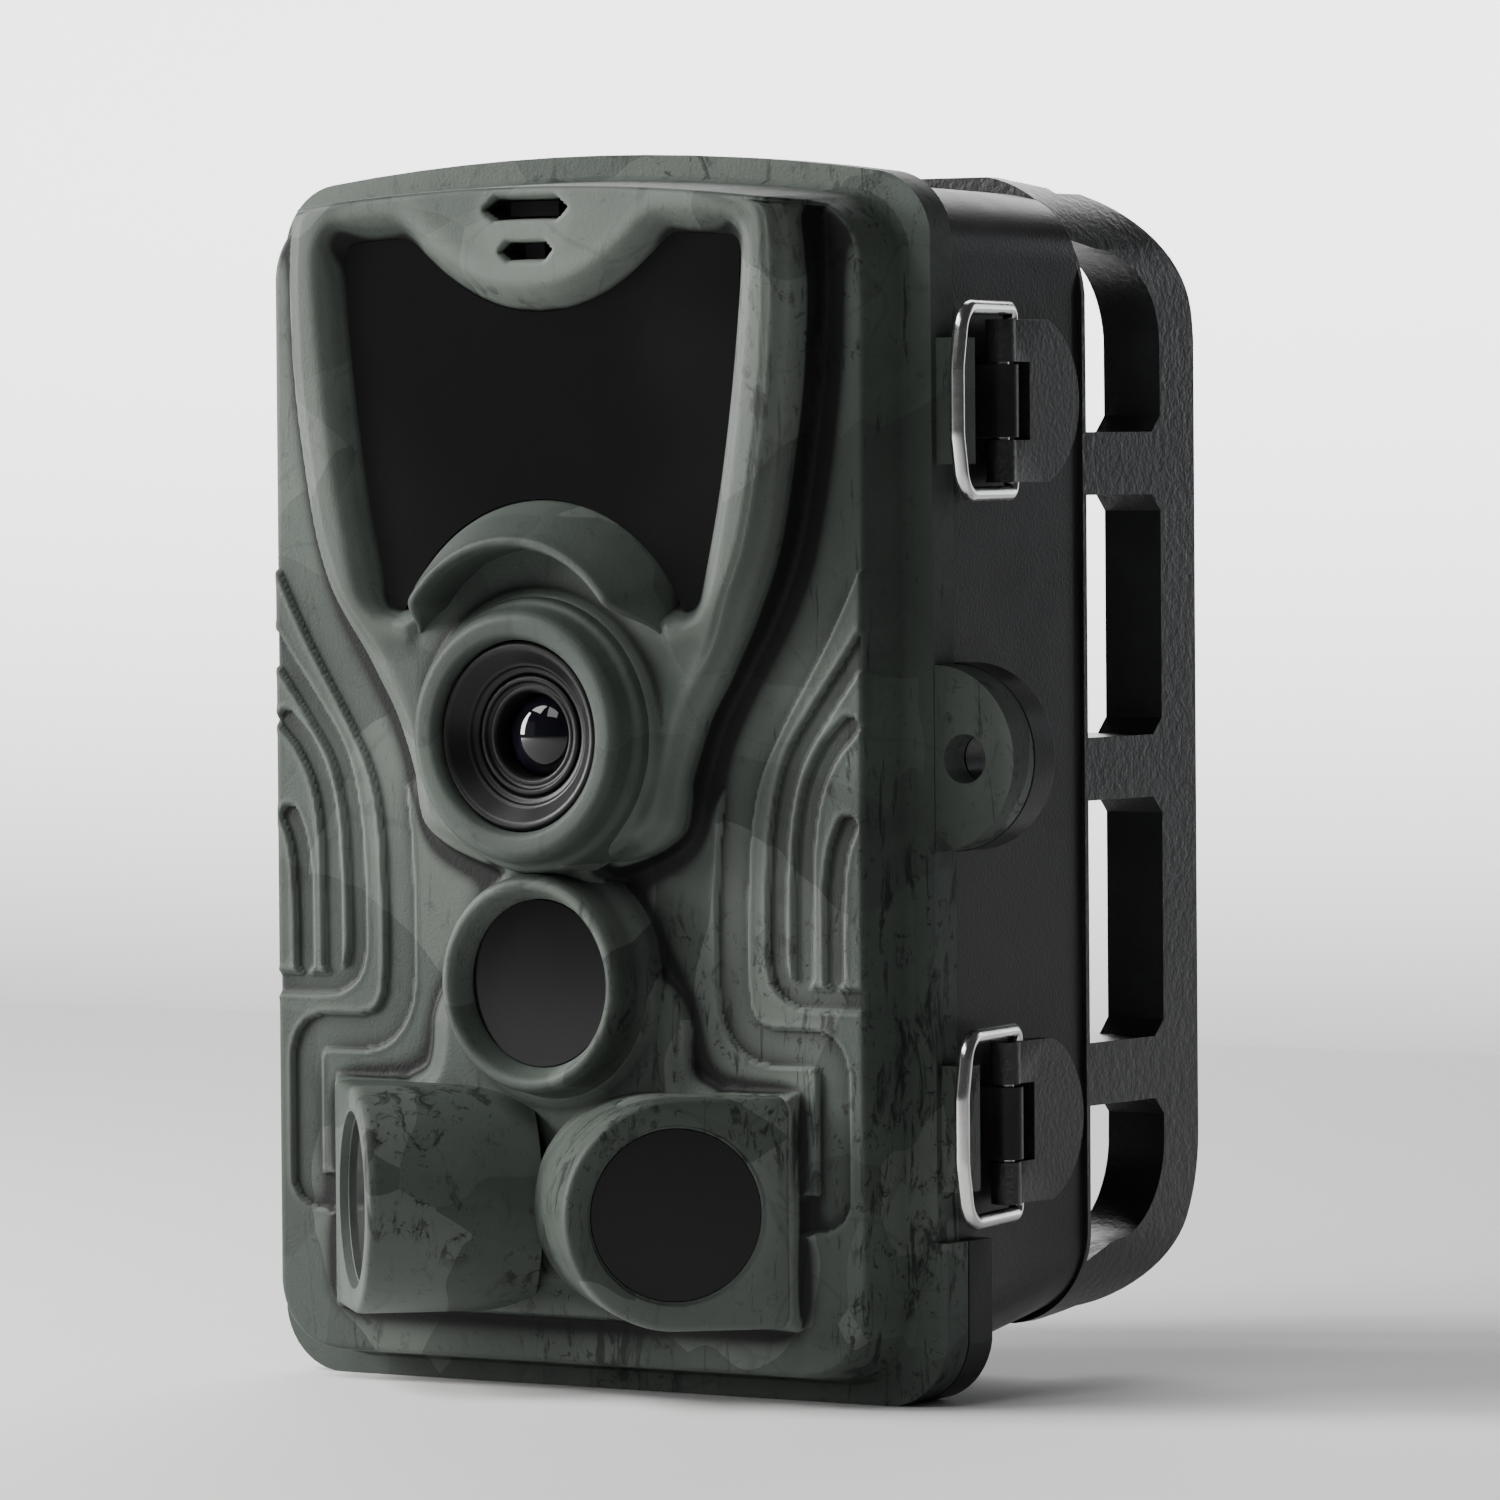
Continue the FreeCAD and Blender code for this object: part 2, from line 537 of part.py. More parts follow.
def lug_hole(body, label, offset, length):
    drawn = circle(sketch(body, label, offset=offset), "lug_hole_x", "lug_z", "lug_hole")
    pocket(body, drawn, f"{label}_cut", length)


# Lug, kept out of the cavity, and the two catch blocks that the bails pass over.
lug_drawn = sketch(cover, "cover_lug", offset="parting + lug_thick")
reach = size("lug_radius")
lug_z = size("lug_z")
chain(lug_drawn, ((half - 1, lug_z - reach), (half + reach, lug_z), (half - 1, lug_z + reach)),
      ((half - 1, lug_z + reach), (half - 1, lug_z - reach)))
pad(cover, lug_drawn, "cover_lug_pad", "lug_thick", back=True)
lug_hole(cover, "cover_lug_hole", "parting + lug_thick + 1", "lug_thick + 2")
for name, centre in LATCHES.items():
    block = sketch(cover, f"{name}_catch", role="XY_Plane", offset=f"{centre} - catch_half")
    edge_x = size("catch_x")
    front = size("parting") + 3.7
    chain(block, ((half - 1, -front), (half - 1, -size("parting"))),
          ((half - 1, -size("parting")), (edge_x, -size("parting"))),
          ((edge_x, -size("parting")), (edge_x, 0.8 - front)), ((edge_x, 0.8 - front), (edge_x - 0.8, -front)),
          ((edge_x - 0.8, -front), (half - 1, -front)))
    pad(cover, block, f"{name}_catch_pad", "2 * catch_half")

# Four screw posts for the inner panel.
post_places = [(x, z) for x in ("-panel_screw_x", "panel_screw_x")
               for z in ("panel_screw_z", "case_height - panel_screw_z")]
for n, (x, z) in enumerate(post_places):
    drawn = circle(sketch(cover, f"post_{n}", offset="panel_front"), x, z, "screw_radius + 1.4")
    pad(cover, drawn, f"post_{n}_pad", "ceiling - panel_front + 0.5")
    drawn = circle(sketch(cover, f"post_way_{n}", offset="panel_front + screw_length"), x, z, "screw_radius")
    pocket(cover, drawn, f"post_way_{n}_cut", "screw_length + 1")

# ---------------------------------------------------------------- rear shell
shell = new_body("rear_shell")
shell_half = half - size("shell_inset")
shell_top = top - size("shell_inset") - 0.6
mouth = sketch(shell, "shell_mouth", offset="parting - seam")
case_outline(mouth, shell_half, size("shell_foot"), shell_top, size("corner") + 1)
tail = sketch(shell, "shell_tail", offset="parting - shell_depth")
case_outline(tail, shell_half - 0.6, size("shell_foot") + size("shell_foot_rise"), shell_top - 0.8,
             size("corner") + 1)
loft(shell, "Additive", "shell_walls", mouth, tail)
boot_edge = boot_outline(sketch(shell, "shell_boot", offset="parting - seam"))
pad(shell, boot_edge, "shell_boot_pad", "boot_depth", back=True)
foot = sketch(shell, "foot", role="XY_Plane")
rectangle(foot, "-foot_half", "-foot_front", "foot_half", "foot_back")
pad(shell, foot, "foot_pad", "shell_foot + shell_foot_rise + 1")
hollow_mouth = sketch(shell, "hollow_mouth", offset="parting - seam")
case_outline(hollow_mouth, shell_half - inner, size("shell_foot") + size("shell_foot_rise") + inner,
             shell_top - inner - 0.8, size("corner") - 1)
pocket(shell, hollow_mouth, "shell_hollow", "shell_depth - seam - wall")
boss = circle(sketch(shell, "socket_boss", role="XY_Plane"), "0", "0", "socket_boss")
pad(shell, boss, "socket_boss_pad", "socket_length + wall")
insert_seat = circle(sketch(shell, "insert_seat", role="XY_Plane", offset="socket_length"),
                     "0", "0", "insert_radius")
pocket(shell, insert_seat, "insert_seat_cut", "socket_length + 1")
for name, centre in HINGES.items():
    knuckles(shell, [(f"{name}_mid", f"{centre} - knuckle_length / 2", "knuckle_length")], False)
    pin_way(shell, f"{name}_shell_pin_way", f"{centre} - knuckle_length", "2 * knuckle_length")
for name, centre in LATCHES.items():
    barrel = sketch(shell, f"{name}_barrel", role="XY_Plane", offset=f"{centre} - latch_barrel_half")
    circle(barrel, "latch_x", "-latch_back", "latch_pin + 1.1")
    pad(shell, barrel, f"{name}_barrel_pad", "2 * latch_barrel_half")
    arm = sketch(shell, f"{name}_barrel_arm", role="XY_Plane", offset=f"{centre} - latch_barrel_half")
    rectangle(arm, "case_half - shell_inset - wall", "-latch_back - latch_pin - 1.1", "latch_x",
              "-latch_back + latch_pin + 1.1")
    pad(shell, arm, f"{name}_barrel_arm_pad", "2 * latch_barrel_half")
    way = sketch(shell, f"{name}_latch_pin_way", role="XY_Plane", offset=f"{centre} + latch_half")
    circle(way, "latch_x", "-latch_back", "latch_pin + 0.001")
    pocket(shell, way, f"{name}_latch_pin_way_cut", "2 * latch_half")
lug_drawn = sketch(shell, "shell_lug", offset="parting - seam")
chain(lug_drawn, ((shell_half - 1, lug_z - reach), (half + reach, lug_z), (shell_half - 1, lug_z + reach)),
      ((shell_half - 1, lug_z + reach), (shell_half - 1, lug_z - reach)))
pad(shell, lug_drawn, "shell_lug_pad", "lug_thick", back=True)
lug_hole(shell, "shell_lug_hole", "parting", "lug_thick + 1")
jack_hole = circle(sketch(shell, "jack_hole", role="YZ_Plane", offset="-case_half + 2 * wall + 2"),
                   "0", "jack_z", "jack_radius + 0.05")
pocket(shell, jack_hole, "jack_hole_cut", "4 * wall")
BRACKET_SCREWS = [(x, z) for x in ("-bracket_half / 2", "bracket_half / 2")
                  for z in ("web_low_z - web", "web_low_z + 2 * web_pitch + web")]
for n, (x, z) in enumerate(BRACKET_SCREWS):
    way = circle(sketch(shell, f"bracket_screw_way_{n}", offset="parting"), x, z, "screw_radius")
    pocket(shell, way, f"bracket_screw_way_{n}_cut", "shell_depth + 1")

# ---------------------------------------------------------------- tripod insert
insert = cut("tripod_insert", cylinder("insert_blank", "insert_radius", "socket_length", ("0", "0", "0")),
             cylinder("insert_thread", "socket_radius", "socket_length + 2", ("0", "0", "-1")))

# ---------------------------------------------------------------- tree bracket
bracket = new_body("tree_bracket")
back_y = size("shell_depth") - size("parting")
tail_low = size("shell_foot") + size("shell_foot_rise")
reach_y = back_y + size("bracket_depth")
bend = size("bracket_bend")
rail_top = top - 2.4
bar = size("bracket_bar")
rail_low = tail_low - 1.5


def bent(centre_y, centre_z, radius, lower):
    """The middle point of a quarter bend at the rail's top or foot."""
    side = -1 if lower else 1
    return (centre_y + radius * math.sqrt(0.5), centre_z + side * radius * math.sqrt(0.5))


rail = sketch(bracket, "rail_outline", role="YZ_Plane", offset="bracket_half - bracket_rail")
top_bend = (reach_y - bend, rail_top - bend - 1)
low_bend = (reach_y - bend, rail_low + bend + 2)
chain(rail, ((back_y, rail_low), (low_bend[0], low_bend[1] - bend)),
      ((low_bend[0], low_bend[1] - bend), bent(*low_bend, bend, True), (reach_y, low_bend[1])),
      ((reach_y, low_bend[1]), (reach_y, top_bend[1])),
      ((reach_y, top_bend[1]), bent(*top_bend, bend, False), (top_bend[0], top_bend[1] + bend)),
      ((top_bend[0], top_bend[1] + bend), (back_y, rail_top)), ((back_y, rail_top), (back_y, rail_low)))
rail_pad = pad(bracket, rail, "rail_pad", "bracket_rail")
web_edges = [size("web_low_z") + n * size("web_pitch") for n in range(3)]
near_y = back_y + 0.8
inner_bend = bend - bar
rail_hollow = sketch(bracket, "rail_hollow", role="YZ_Plane", offset="bracket_half")
chain(rail_hollow, ((near_y, rail_low + bar), (low_bend[0], low_bend[1] - inner_bend)),
      ((low_bend[0], low_bend[1] - inner_bend), bent(*low_bend, inner_bend, True), (reach_y - bar, low_bend[1])),
      ((reach_y - bar, low_bend[1]), (reach_y - bar, top_bend[1])),
      ((reach_y - bar, top_bend[1]), bent(*top_bend, inner_bend, False), (top_bend[0], top_bend[1] + inner_bend)),
      ((top_bend[0], top_bend[1] + inner_bend), (near_y, rail_top - bar)),
      ((near_y, rail_top - bar), (near_y, rail_low + bar)))
rail_hollow_cut = pocket(bracket, rail_hollow, "rail_hollow_cut", "bracket_rail")
webs = sketch(bracket, "rail_webs", role="YZ_Plane", offset="bracket_half - bracket_rail")
web_half = size("web") / 2
for z in web_edges:
    polygon(webs, [(back_y + 0.4, z - web_half), (reach_y - bar - 2, z - web_half), (reach_y - bar + 0.5, z - web_half - 2.5),
                   (reach_y - bar + 0.5, z + web_half + 2.5), (reach_y - bar - 2, z + web_half),
                   (back_y + 0.4, z + web_half)])
webs_pad = pad(bracket, webs, "rail_webs_pad", "bracket_rail")
mirrored(bracket, "left_rail", rail_pad, rail_hollow_cut, webs_pad)
plate = sketch(bracket, "bracket_plate", offset="parting - shell_depth")
rectangle(plate, "-bracket_half + 0.5 * bracket_rail", "shell_foot + shell_foot_rise - 1.4",
          "bracket_half - 0.5 * bracket_rail", "case_height - 2.6")
pad(bracket, plate, "bracket_plate_pad", "bracket_plate", back=True)
lips = sketch(bracket, "bracket_lips", role="YZ_Plane", offset="-bracket_half + bracket_rail / 2")
polygon(lips, [(back_y + 0.2, rail_top - 7), (back_y + 6, rail_top - 7), (back_y + 7, rail_top - 6),
               (back_y + 7, rail_top - 1.5), (back_y + 0.2, rail_top - 0.2)])
polygon(lips, [(back_y + 0.2, rail_low + 0.3), (back_y + 7, rail_low + 2.6), (back_y + 7, rail_low + 6),
               (back_y + 6, rail_low + 7), (back_y + 0.2, rail_low + 7)])
pad(bracket, lips, "bracket_lips_pad", "2 * bracket_half - bracket_rail")
cradle = size("bracket_half") - size("bracket_rail") / 2
for n, centre in enumerate(web_edges):
    rib = sketch(bracket, f"cradle_{n}", role="XY_Plane", offset=f"web_low_z + {n} * web_pitch - web / 2")
    chain(rib, ((-cradle, back_y), (cradle, back_y)), ((cradle, back_y), (cradle, reach_y - 3)),
          ((cradle, reach_y - 3), (0, back_y + size("bracket_plate") + 3), (-cradle, reach_y - 3)),
          ((-cradle, reach_y - 3), (-cradle, back_y)))
    pad(bracket, rib, f"cradle_{n}_pad", "web")
trim = sketch(bracket, "corner_trim", offset="parting - shell_depth + 1")
wide = size("bracket_half")
for side in (-1, 1):
    for edge_z, radius, up in ((rail_top, size("bracket_corner"), 1), (rail_low, 0.75 * size("bracket_corner"), -1)):
        start, stop = (side * wide, edge_z - up * radius), (side * (wide - radius), edge_z)
        middle = (side * (wide - radius * (1 - math.sqrt(0.5))), edge_z - up * radius * (1 - math.sqrt(0.5)))
        outside = [(stop[0], edge_z + up * 3), (side * (wide + 3), edge_z + up * 3), (side * (wide + 3), start[1])]
        chain(trim, (start, middle, stop), (stop, outside[0]), (outside[0], outside[1]), (outside[1], outside[2]),
              (outside[2], start))
pocket(bracket, trim, "corner_trim_cut", "bracket_depth + 8")
for n, (x, z) in enumerate(BRACKET_SCREWS):
    way = circle(sketch(bracket, f"bracket_hole_{n}", offset="0"), x, z, "screw_radius")
    pocket(bracket, way, f"bracket_hole_{n}_cut", "shell_depth")


def screw(label, x, z, head_front, points_front):
    """A pan-head screw lying along the camera's depth."""
    head_y = f"-({head_front})"
    if points_front:
        shank_y, cap_y = f"-({head_front}) - screw_length", head_y
    else:
        shank_y, cap_y = head_y, f"-({head_front}) - 1.6"
    shank = cylinder(f"{label}_shank", "screw_radius", "screw_length", (x, shank_y, z), BACKWARD)
    head = cylinder(f"{label}_head", "screw_head", "1.6", (x, cap_y, z), BACKWARD)
    return fuse(label, shank, head)


bracket_screws = group("bracket_screws", [
    screw(f"bracket_screw_{n}", x, z, "parting - shell_depth - bracket_plate", True)
    for n, (x, z) in enumerate(BRACKET_SCREWS)])
panel_screws = group("panel_screws", [
    screw(f"panel_screw_{n}", x, z, "panel_front - panel_thick", True)
    for n, (x, z) in enumerate(post_places)])

# ---------------------------------------------------------------- battery tray and cells
tray_depth = "2 * cell_radius + cell_gap + tray_wall"
tray_front_y = "cell_row_y - cell_radius"
tray = box("tray_blank", f"2 * {TRAY_HALF}", tray_depth, f"2 * {CELL_ROW} + 2 * tray_wall + 2 * cell_gap",
           (f"-{TRAY_HALF}", tray_front_y, "tray_low_z"))
cells, springs, plates, pockets = [], [], [], []
for column in range(4):
    x = f"({column} - 1.5) * (2 * cell_radius + cell_gap)"
    for tier in range(2):
        spot = f"{column}_{tier}"
        foot_z = f"tray_low_z + tray_wall + {tier} * ({CELL_ROW} + cell_gap)"
        cell_foot = f"{foot_z} + cell_spring"
        pockets.append(box(f"cell_pocket_{spot}", "2 * cell_radius + cell_gap / 2", tray_depth,
                           "cell_length + cell_spring + cell_gap",
                           (f"{x} - cell_radius - cell_gap / 4", f"{tray_front_y} - tray_wall", foot_z)))
        can = cylinder(f"cell_can_{spot}", "cell_radius", "cell_length - 1.4", (x, "cell_row_y", cell_foot))
        nub = cylinder(f"cell_nub_{spot}", "0.38 * cell_radius", "cell_length", (x, "cell_row_y", cell_foot))
        cells.append(fuse(f"cell_{spot}", can, nub))
        springs.append(cone(f"cell_spring_{spot}", "0.6 * cell_radius", "0.3 * cell_radius",
                            "cell_spring - 0.4", (x, "cell_row_y", f"{foot_z} + 0.4")))
        plates.append(box(f"cell_plate_{spot}", "1.4 * cell_radius", "1.4 * cell_radius", "0.4",
                          (f"{x} - 0.7 * cell_radius", "cell_row_y - 0.7 * cell_radius", foot_z)))
battery_tray = cut("battery_tray", tray, *pockets)
group("aa_cells", cells)
group("contact_springs", springs)
group("contact_plates", plates)

# ---------------------------------------------------------------- power inlet
jack_x = "-case_half + shell_inset"
cut("dc_jack", cylinder("jack_blank", "jack_radius", "jack_length", (f"{jack_x} + 0.6", "0", "jack_z"), SIDEWAYS),
    cylinder("jack_bore_tool", "jack_bore", "jack_length - 2", (f"{jack_x}", "0", "jack_z"), SIDEWAYS))
flap = new_body("port_cover")
flap_face = sketch(flap, "flap_face", role="YZ_Plane", offset="-case_half + shell_inset - seam")
rectangle(flap_face, "-flap_half", "jack_z - flap_half", "flap_half", "jack_z + flap_half + 2 - flap_thick / 2")
pad(flap, flap_face, "flap_pad", "flap_thick", back=True)
flap_bead = circle(sketch(flap, "flap_bead"), "-case_half + shell_inset - seam - flap_thick / 2",
                   "jack_z + flap_half + 2 - flap_thick / 2", "flap_thick / 2")
pad(flap, flap_bead, "flap_bead_pad", "2 * flap_half", both=True)
flap_pull = sketch(flap, "flap_pull", role="YZ_Plane", offset="-case_half + shell_inset - seam - flap_thick")
rectangle(flap_pull, "-2", "jack_z - flap_half - 2", "2", "jack_z - flap_half + 2")
pad(flap, flap_pull, "flap_pull_pad", "flap_thick")

# ---------------------------------------------------------------- hinge and latch pins
group("hinge_pins", [cylinder(f"{name}_hinge_pin", "hinge_pin", "2.4 * knuckle_length + 2 * knuckle_gap",
                              ("-hinge_x", "-parting + seam / 2",
                               f"{centre} - 1.2 * knuckle_length - knuckle_gap"))
                     for name, centre in HINGES.items()])
group("latch_pins", [cylinder(f"{name}_latch_pin", "latch_pin", "2 * latch_half - 2",
                              ("latch_x", "-latch_back", f"{centre} - latch_half + 1"))
                     for name, centre in LATCHES.items()])

# ---------------------------------------------------------------- draw latches
for name, centre in LATCHES.items():
    middle_z = size("latch_low_z") if name == "lower" else top - size("latch_top_drop")
    lever = new_body(f"{name}_latch_lever")
    pivot_y = -size("latch_back")
    tip_y = pivot_y + size("latch_reach")
    wide = size("latch_half")
    nose = size("latch_plate") / 2
    face = sketch(lever, "lever_face", role="YZ_Plane", offset="latch_x + latch_plate / 2")
    chain(face, ((pivot_y, middle_z - wide), (tip_y - 7, middle_z - wide)),
          ((tip_y - 7, middle_z - wide), (tip_y, middle_z), (tip_y - 7, middle_z + wide)),
          ((tip_y - 7, middle_z + wide), (pivot_y, middle_z + wide)),
          ((pivot_y, middle_z + wide), (pivot_y, middle_z - wide)))
    pad(lever, face, "lever_pad", "latch_plate", back=True)
    nose_round = sketch(lever, "lever_nose", role="XY_Plane", offset=f"{centre} - latch_half")
    circle(nose_round, "latch_x", "-latch_back", "latch_plate / 2 + 0.7")
    pad(lever, nose_round, "lever_nose_pad", "2 * latch_half")
    notch = sketch(lever, "lever_notch", role="YZ_Plane", offset="latch_x + 4")
    rectangle(notch, "-latch_back - 4", f"{centre} - latch_barrel_half - 0.3", "-latch_back + 4.6",
              f"{centre} + latch_barrel_half + 0.3")
    pocket(lever, notch, "lever_notch_cut", "8")
    pin_hole = sketch(lever, "lever_pin_hole", role="XY_Plane", offset=f"{centre} + latch_half - 1")
    circle(pin_hole, "latch_x", "-latch_back", "latch_pin + pin_fit")
    pocket(lever, pin_hole, "lever_pin_hole_cut", "2 * latch_half - 2")
    for side, start in (("top", f"{centre} + latch_half + 1"), ("low", f"{centre} - latch_half + 3")):
        eye = sketch(lever, f"bail_eye_{side}", role="XY_Plane", offset=start)
        circle(eye, "latch_x", "-bail_back", "bail_wire + pin_fit")
        pocket(lever, eye, f"bail_eye_{side}_cut", "4")

    # The bail: one bent wire, its two ends turned into the lever's eyes.
    bail = doc.addObject("Part::Feature", f"{name}_latch_bail")
    x_eye, x_run = size("latch_x"), size("bail_x")
    y_eye, y_run = -size("bail_back"), -size("bail_front")
    reach_z = size("bail_half")
    wire = size("bail_wire")
    seat_z = size("latch_half") - 2

    def spot(x, y, z):
        return V(x, y, middle_z + z)

    ends = [spot(x_eye, y_eye, seat_z), spot(x_eye, y_eye, reach_z), spot(x_run, y_run + 1.2, reach_z)]
    foot = [V(point.x, point.y, 2 * middle_z - point.z) for point in reversed(ends)]
    bow = [spot(x_run, y_run, 4), spot(x_run, y_run, -4)]
    path = rounded(ends + bow + foot, [1.3 * wire, 3.2, 6, 6, 3.2, 1.3 * wire])
    section = Part.Wire([Part.Circle(ends[0], UP, wire).toShape()])
    bail.Shape = path.makePipeShell([section], True, False)

# ---------------------------------------------------------------- door gasket
gasket = new_body("door_gasket")
ring = sketch(gasket, "gasket_ring", offset="parting + gasket_depth")
slack = 0.05
case_outline(ring, groove_mid + size("gasket_width") / 2 - slack,
             half - groove_mid - size("gasket_width") / 2 + slack,
             top - (half - groove_mid) + size("gasket_width") / 2 - slack, size("corner"))
case_outline(ring, groove_mid - size("gasket_width") / 2 + slack,
             half - groove_mid + size("gasket_width") / 2 - slack,
             top - (half - groove_mid) - size("gasket_width") / 2 + slack, size("corner") - size("gasket_width"))
pad(gasket, ring, "gasket_pad", "gasket_depth", back=True)

# ---------------------------------------------------------------- window, LEDs
ir_window = new_body("ir_window")
pane = window_outline(sketch(ir_window, "window_pane", offset="window_front"), 0, size("hood_base") + 0.1)
pad(ir_window, pane, "window_pane_pad", "window_glass", back=True)
led_board = new_body("ir_led_board")
board_edge = window_outline(sketch(led_board, "led_board_edge", offset="ceiling"), -0.6,
                            size("hood_base") + 0.6)
pad(led_board, board_edge, "led_board_pad", "board_thick", back=True)
leds = []
for tier in range(4):
    led_z = window_top - 9.5 - tier * size("led_pitch") * 1.05
    for column in range(-3, 5):
        led_x = (column - 0.5) * size("led_pitch")
        clear_of_tab = math.hypot(led_x, led_z - window_top - 12) > 24
        clear_of_hood = math.hypot(led_x, led_z - size("hood_z")) > size("hood_base") + 6
        clear_of_side = abs(led_x) < window_half - 7
        if clear_of_tab and clear_of_hood and clear_of_side:
            leds.append(cylinder(f"led_{tier}_{column + 3}", "led_radius", "led_length",
                                 (f"{column - 0.5} * led_pitch", "-ceiling - led_length",
                                  f"case_height - window_top_drop - 9.5 - {tier} * led_pitch * 1.05"), BACKWARD))
group("ir_leds", leds)

# ---------------------------------------------------------------- lens
barrel = new_body("lens_barrel")
drawn = circle(sketch(barrel, "barrel_round", offset="ceiling - 1.4"), "0", "lens_z", "lens_bore - glass_gap")
pad(barrel, drawn, "barrel_pad", "lens_ring_front - 1.2 - ceiling + 1.4")
for label, radius, depth in (("mouth", "lens_bore - 1.4", "1.2"), ("step", "lens_bore - 2.6", "2.2"),
                             ("throat", "0.64 * lens_bore", "3.4"), ("seat", "0.47 * lens_bore", "8.0")):
    drawn = circle(sketch(barrel, f"barrel_{label}", offset="lens_ring_front - 1.2"), "0", "lens_z", radius)
    pocket(barrel, drawn, f"barrel_{label}_cut", depth)
retainer = new_body("lens_retainer")
drawn = sketch(retainer, "retainer_ring", offset="lens_ring_front - 4.6")
circle(drawn, "0", "lens_z", "0.64 * lens_bore - glass_gap")
circle(drawn, "0", "lens_z", "0.46 * lens_bore")
pad(retainer, drawn, "retainer_pad", "0.9")
lens_front = "-(lens_ring_front - 4.4)"
lens = doc.addObject("Part::MultiCommon", "lens_glass")
lens.Shapes = [cylinder("lens_rim", "0.44 * lens_bore", "4.4", ("0", lens_front, "lens_z"), BACKWARD),
               ball("lens_dome", "0.62 * lens_bore", ("0", f"{lens_front} + 0.62 * lens_bore", "lens_z"))]
box("sensor_board", "2 * lens_bore", "board_thick", "2 * lens_bore",
    ("-lens_bore", "-ceiling + 1.4", "lens_z - lens_bore"))

# ---------------------------------------------------------------- sensor windows and sensors
disc_y = "-(pir_ring_front - pir_recess)"
cylinder("pir_window_center", "pir_bore - glass_gap", "pir_disc", ("0", disc_y, "pir_z"), BACKWARD)
cans = [cylinder("pir_can_center", "4.6", "4", ("0", "-board_back - board_thick - 4.2", "pir_z"), BACKWARD)]
for name, side in (("left", -1), ("right", 1)):
    lean = math.radians(size("eye_angle"))
    inward = FreeCAD.Rotation(UP, V(-side * math.sin(lean), math.cos(lean), 0))
    for label, radius, length, depth in ((f"pir_window_{name}", "eye_bore - glass_gap", "pir_disc", "eye_recess"),
                                         (f"pir_can_{name}", "4.6", "4", "eye_recess + 8")):
        made = cylinder(label, radius, length, (f"{side} * (eye_x - ({depth}) * sin(eye_angle))",
                                                f"-eye_front + ({depth}) * cos(eye_angle)", "eye_z"), inward)
        if "can" in label:
            cans.append(made)
group("pir_sensors", cans)
status = []
for slot, drop, share in (("upper", 6.6, 1.0), ("lower", 11.6, 0.62)):
    status.append(box(f"{slot}_status", f"2 * tab_slot_half * {share} - 4.2", "1.2", "tab_slot_height - 0.8",
                      (f"-tab_slot_half * {share} + 2.1", "-bezel_front + 2.2",
                       f"case_height - {drop} - tab_slot_height / 2 + 0.4")))
group("status_windows", status)

# ---------------------------------------------------------------- boards, panel and controls
box("main_board", "2 * board_half", "board_thick", "board_height",
    ("-board_half", "-board_back - board_thick", "board_low_z"))
panel = new_body("inner_panel")
sheet_edge = sketch(panel, "panel_edge", offset="panel_front")
gap = size("panel_gap")
case_outline(sheet_edge, half - size("ledge") - inner - gap, size("ledge") + inner + gap,
             top - size("ledge") - inner - 1 - gap, size("corner") - inner - gap)
pad(panel, sheet_edge, "panel_pad", "panel_thick", back=True)
BUTTONS = {
    "up_button": ("pad_x", "pad_z + pad_pitch"), "down_button": ("pad_x", "pad_z - pad_pitch"),
    "left_button": ("pad_x - pad_pitch", "pad_z"), "right_button": ("pad_x + pad_pitch", "pad_z"),
    "ok_button": ("pad_x", "pad_z"), "menu_button": ("menu_x", "menu_z"),
}
openings = sketch(panel, "panel_openings", offset="panel_front")
rectangle(openings, "-lcd_view_half - glass_gap", "lcd_z - lcd_view_height / 2 - glass_gap",
          "lcd_view_half + glass_gap", "lcd_z + lcd_view_height / 2 + glass_gap")
for x, z in BUTTONS.values():
    circle(openings, x, z, "button_radius + button_gap")
for x, z in post_places:
    circle(openings, x, z, "screw_radius + 0.2")
rectangle(openings, "switch_x - switch_travel - 1.7", "switch_z - 2.7", "switch_x + switch_travel + 1.7",
          "switch_z + 2.7")
pocket(panel, openings, "panel_openings_cut", "panel_thick + 1")
box("lcd_window", "2 * lcd_view_half", "lcd_glass", "lcd_view_height",
    ("-lcd_view_half", "-panel_front", "lcd_z - lcd_view_height / 2"))
box("lcd_module", "2 * lcd_half", "lcd_thick", "lcd_height",
    ("-lcd_half", "-panel_front - 0.2 - lcd_thick", "lcd_z - lcd_height / 2"))
switches = []
for label, (x, z) in BUTTONS.items():
    cap = cylinder(f"{label}_cap", "button_radius", "panel_thick + button_proud + 0.3",
                   (x, "-panel_front - 0.3", z), BACKWARD)
    skirt = cylinder(f"{label}_skirt", "button_radius + 0.8", "1.1", (x, "-panel_front - 1.3", z), BACKWARD)
    fuse(label, cap, skirt)
    switches.append(box(f"{label}_key", "6", "0.7", "6", (f"{x} - 3", "-board_back", f"{z} - 3")))
group("key_switches", switches)
knob = box("knob_grip", "3", "panel_thick + button_proud + 0.4", "5",
           ("switch_x - 1.5", "-panel_front - 0.4", "switch_z - 2.5"))
slider = box("knob_slider", "5", "0.9", "7", ("switch_x - 2.5", "-panel_front - 1.2", "switch_z - 3.5"))
fuse("mode_switch_knob", knob, slider)
box("mode_switch_housing", "2 * switch_travel + 8", "1.0", "9",
    ("switch_x - switch_travel - 4", "-board_back", "switch_z - 4.5"))
cylinder("speaker", "7", "3.4", ("speaker_x", "-panel_front - 3.8", "lcd_z - 8"), BACKWARD)
slot_blank = box("card_slot_blank", "26", "2.2", "28", ("-card_slot_x", "-board_back", "board_low_z + 2"))
slot_mouth = box("card_slot_mouth", "24.4", "1.4", "27", ("-card_slot_x + 0.8", "-board_back + 0.5", "board_low_z + 1"))
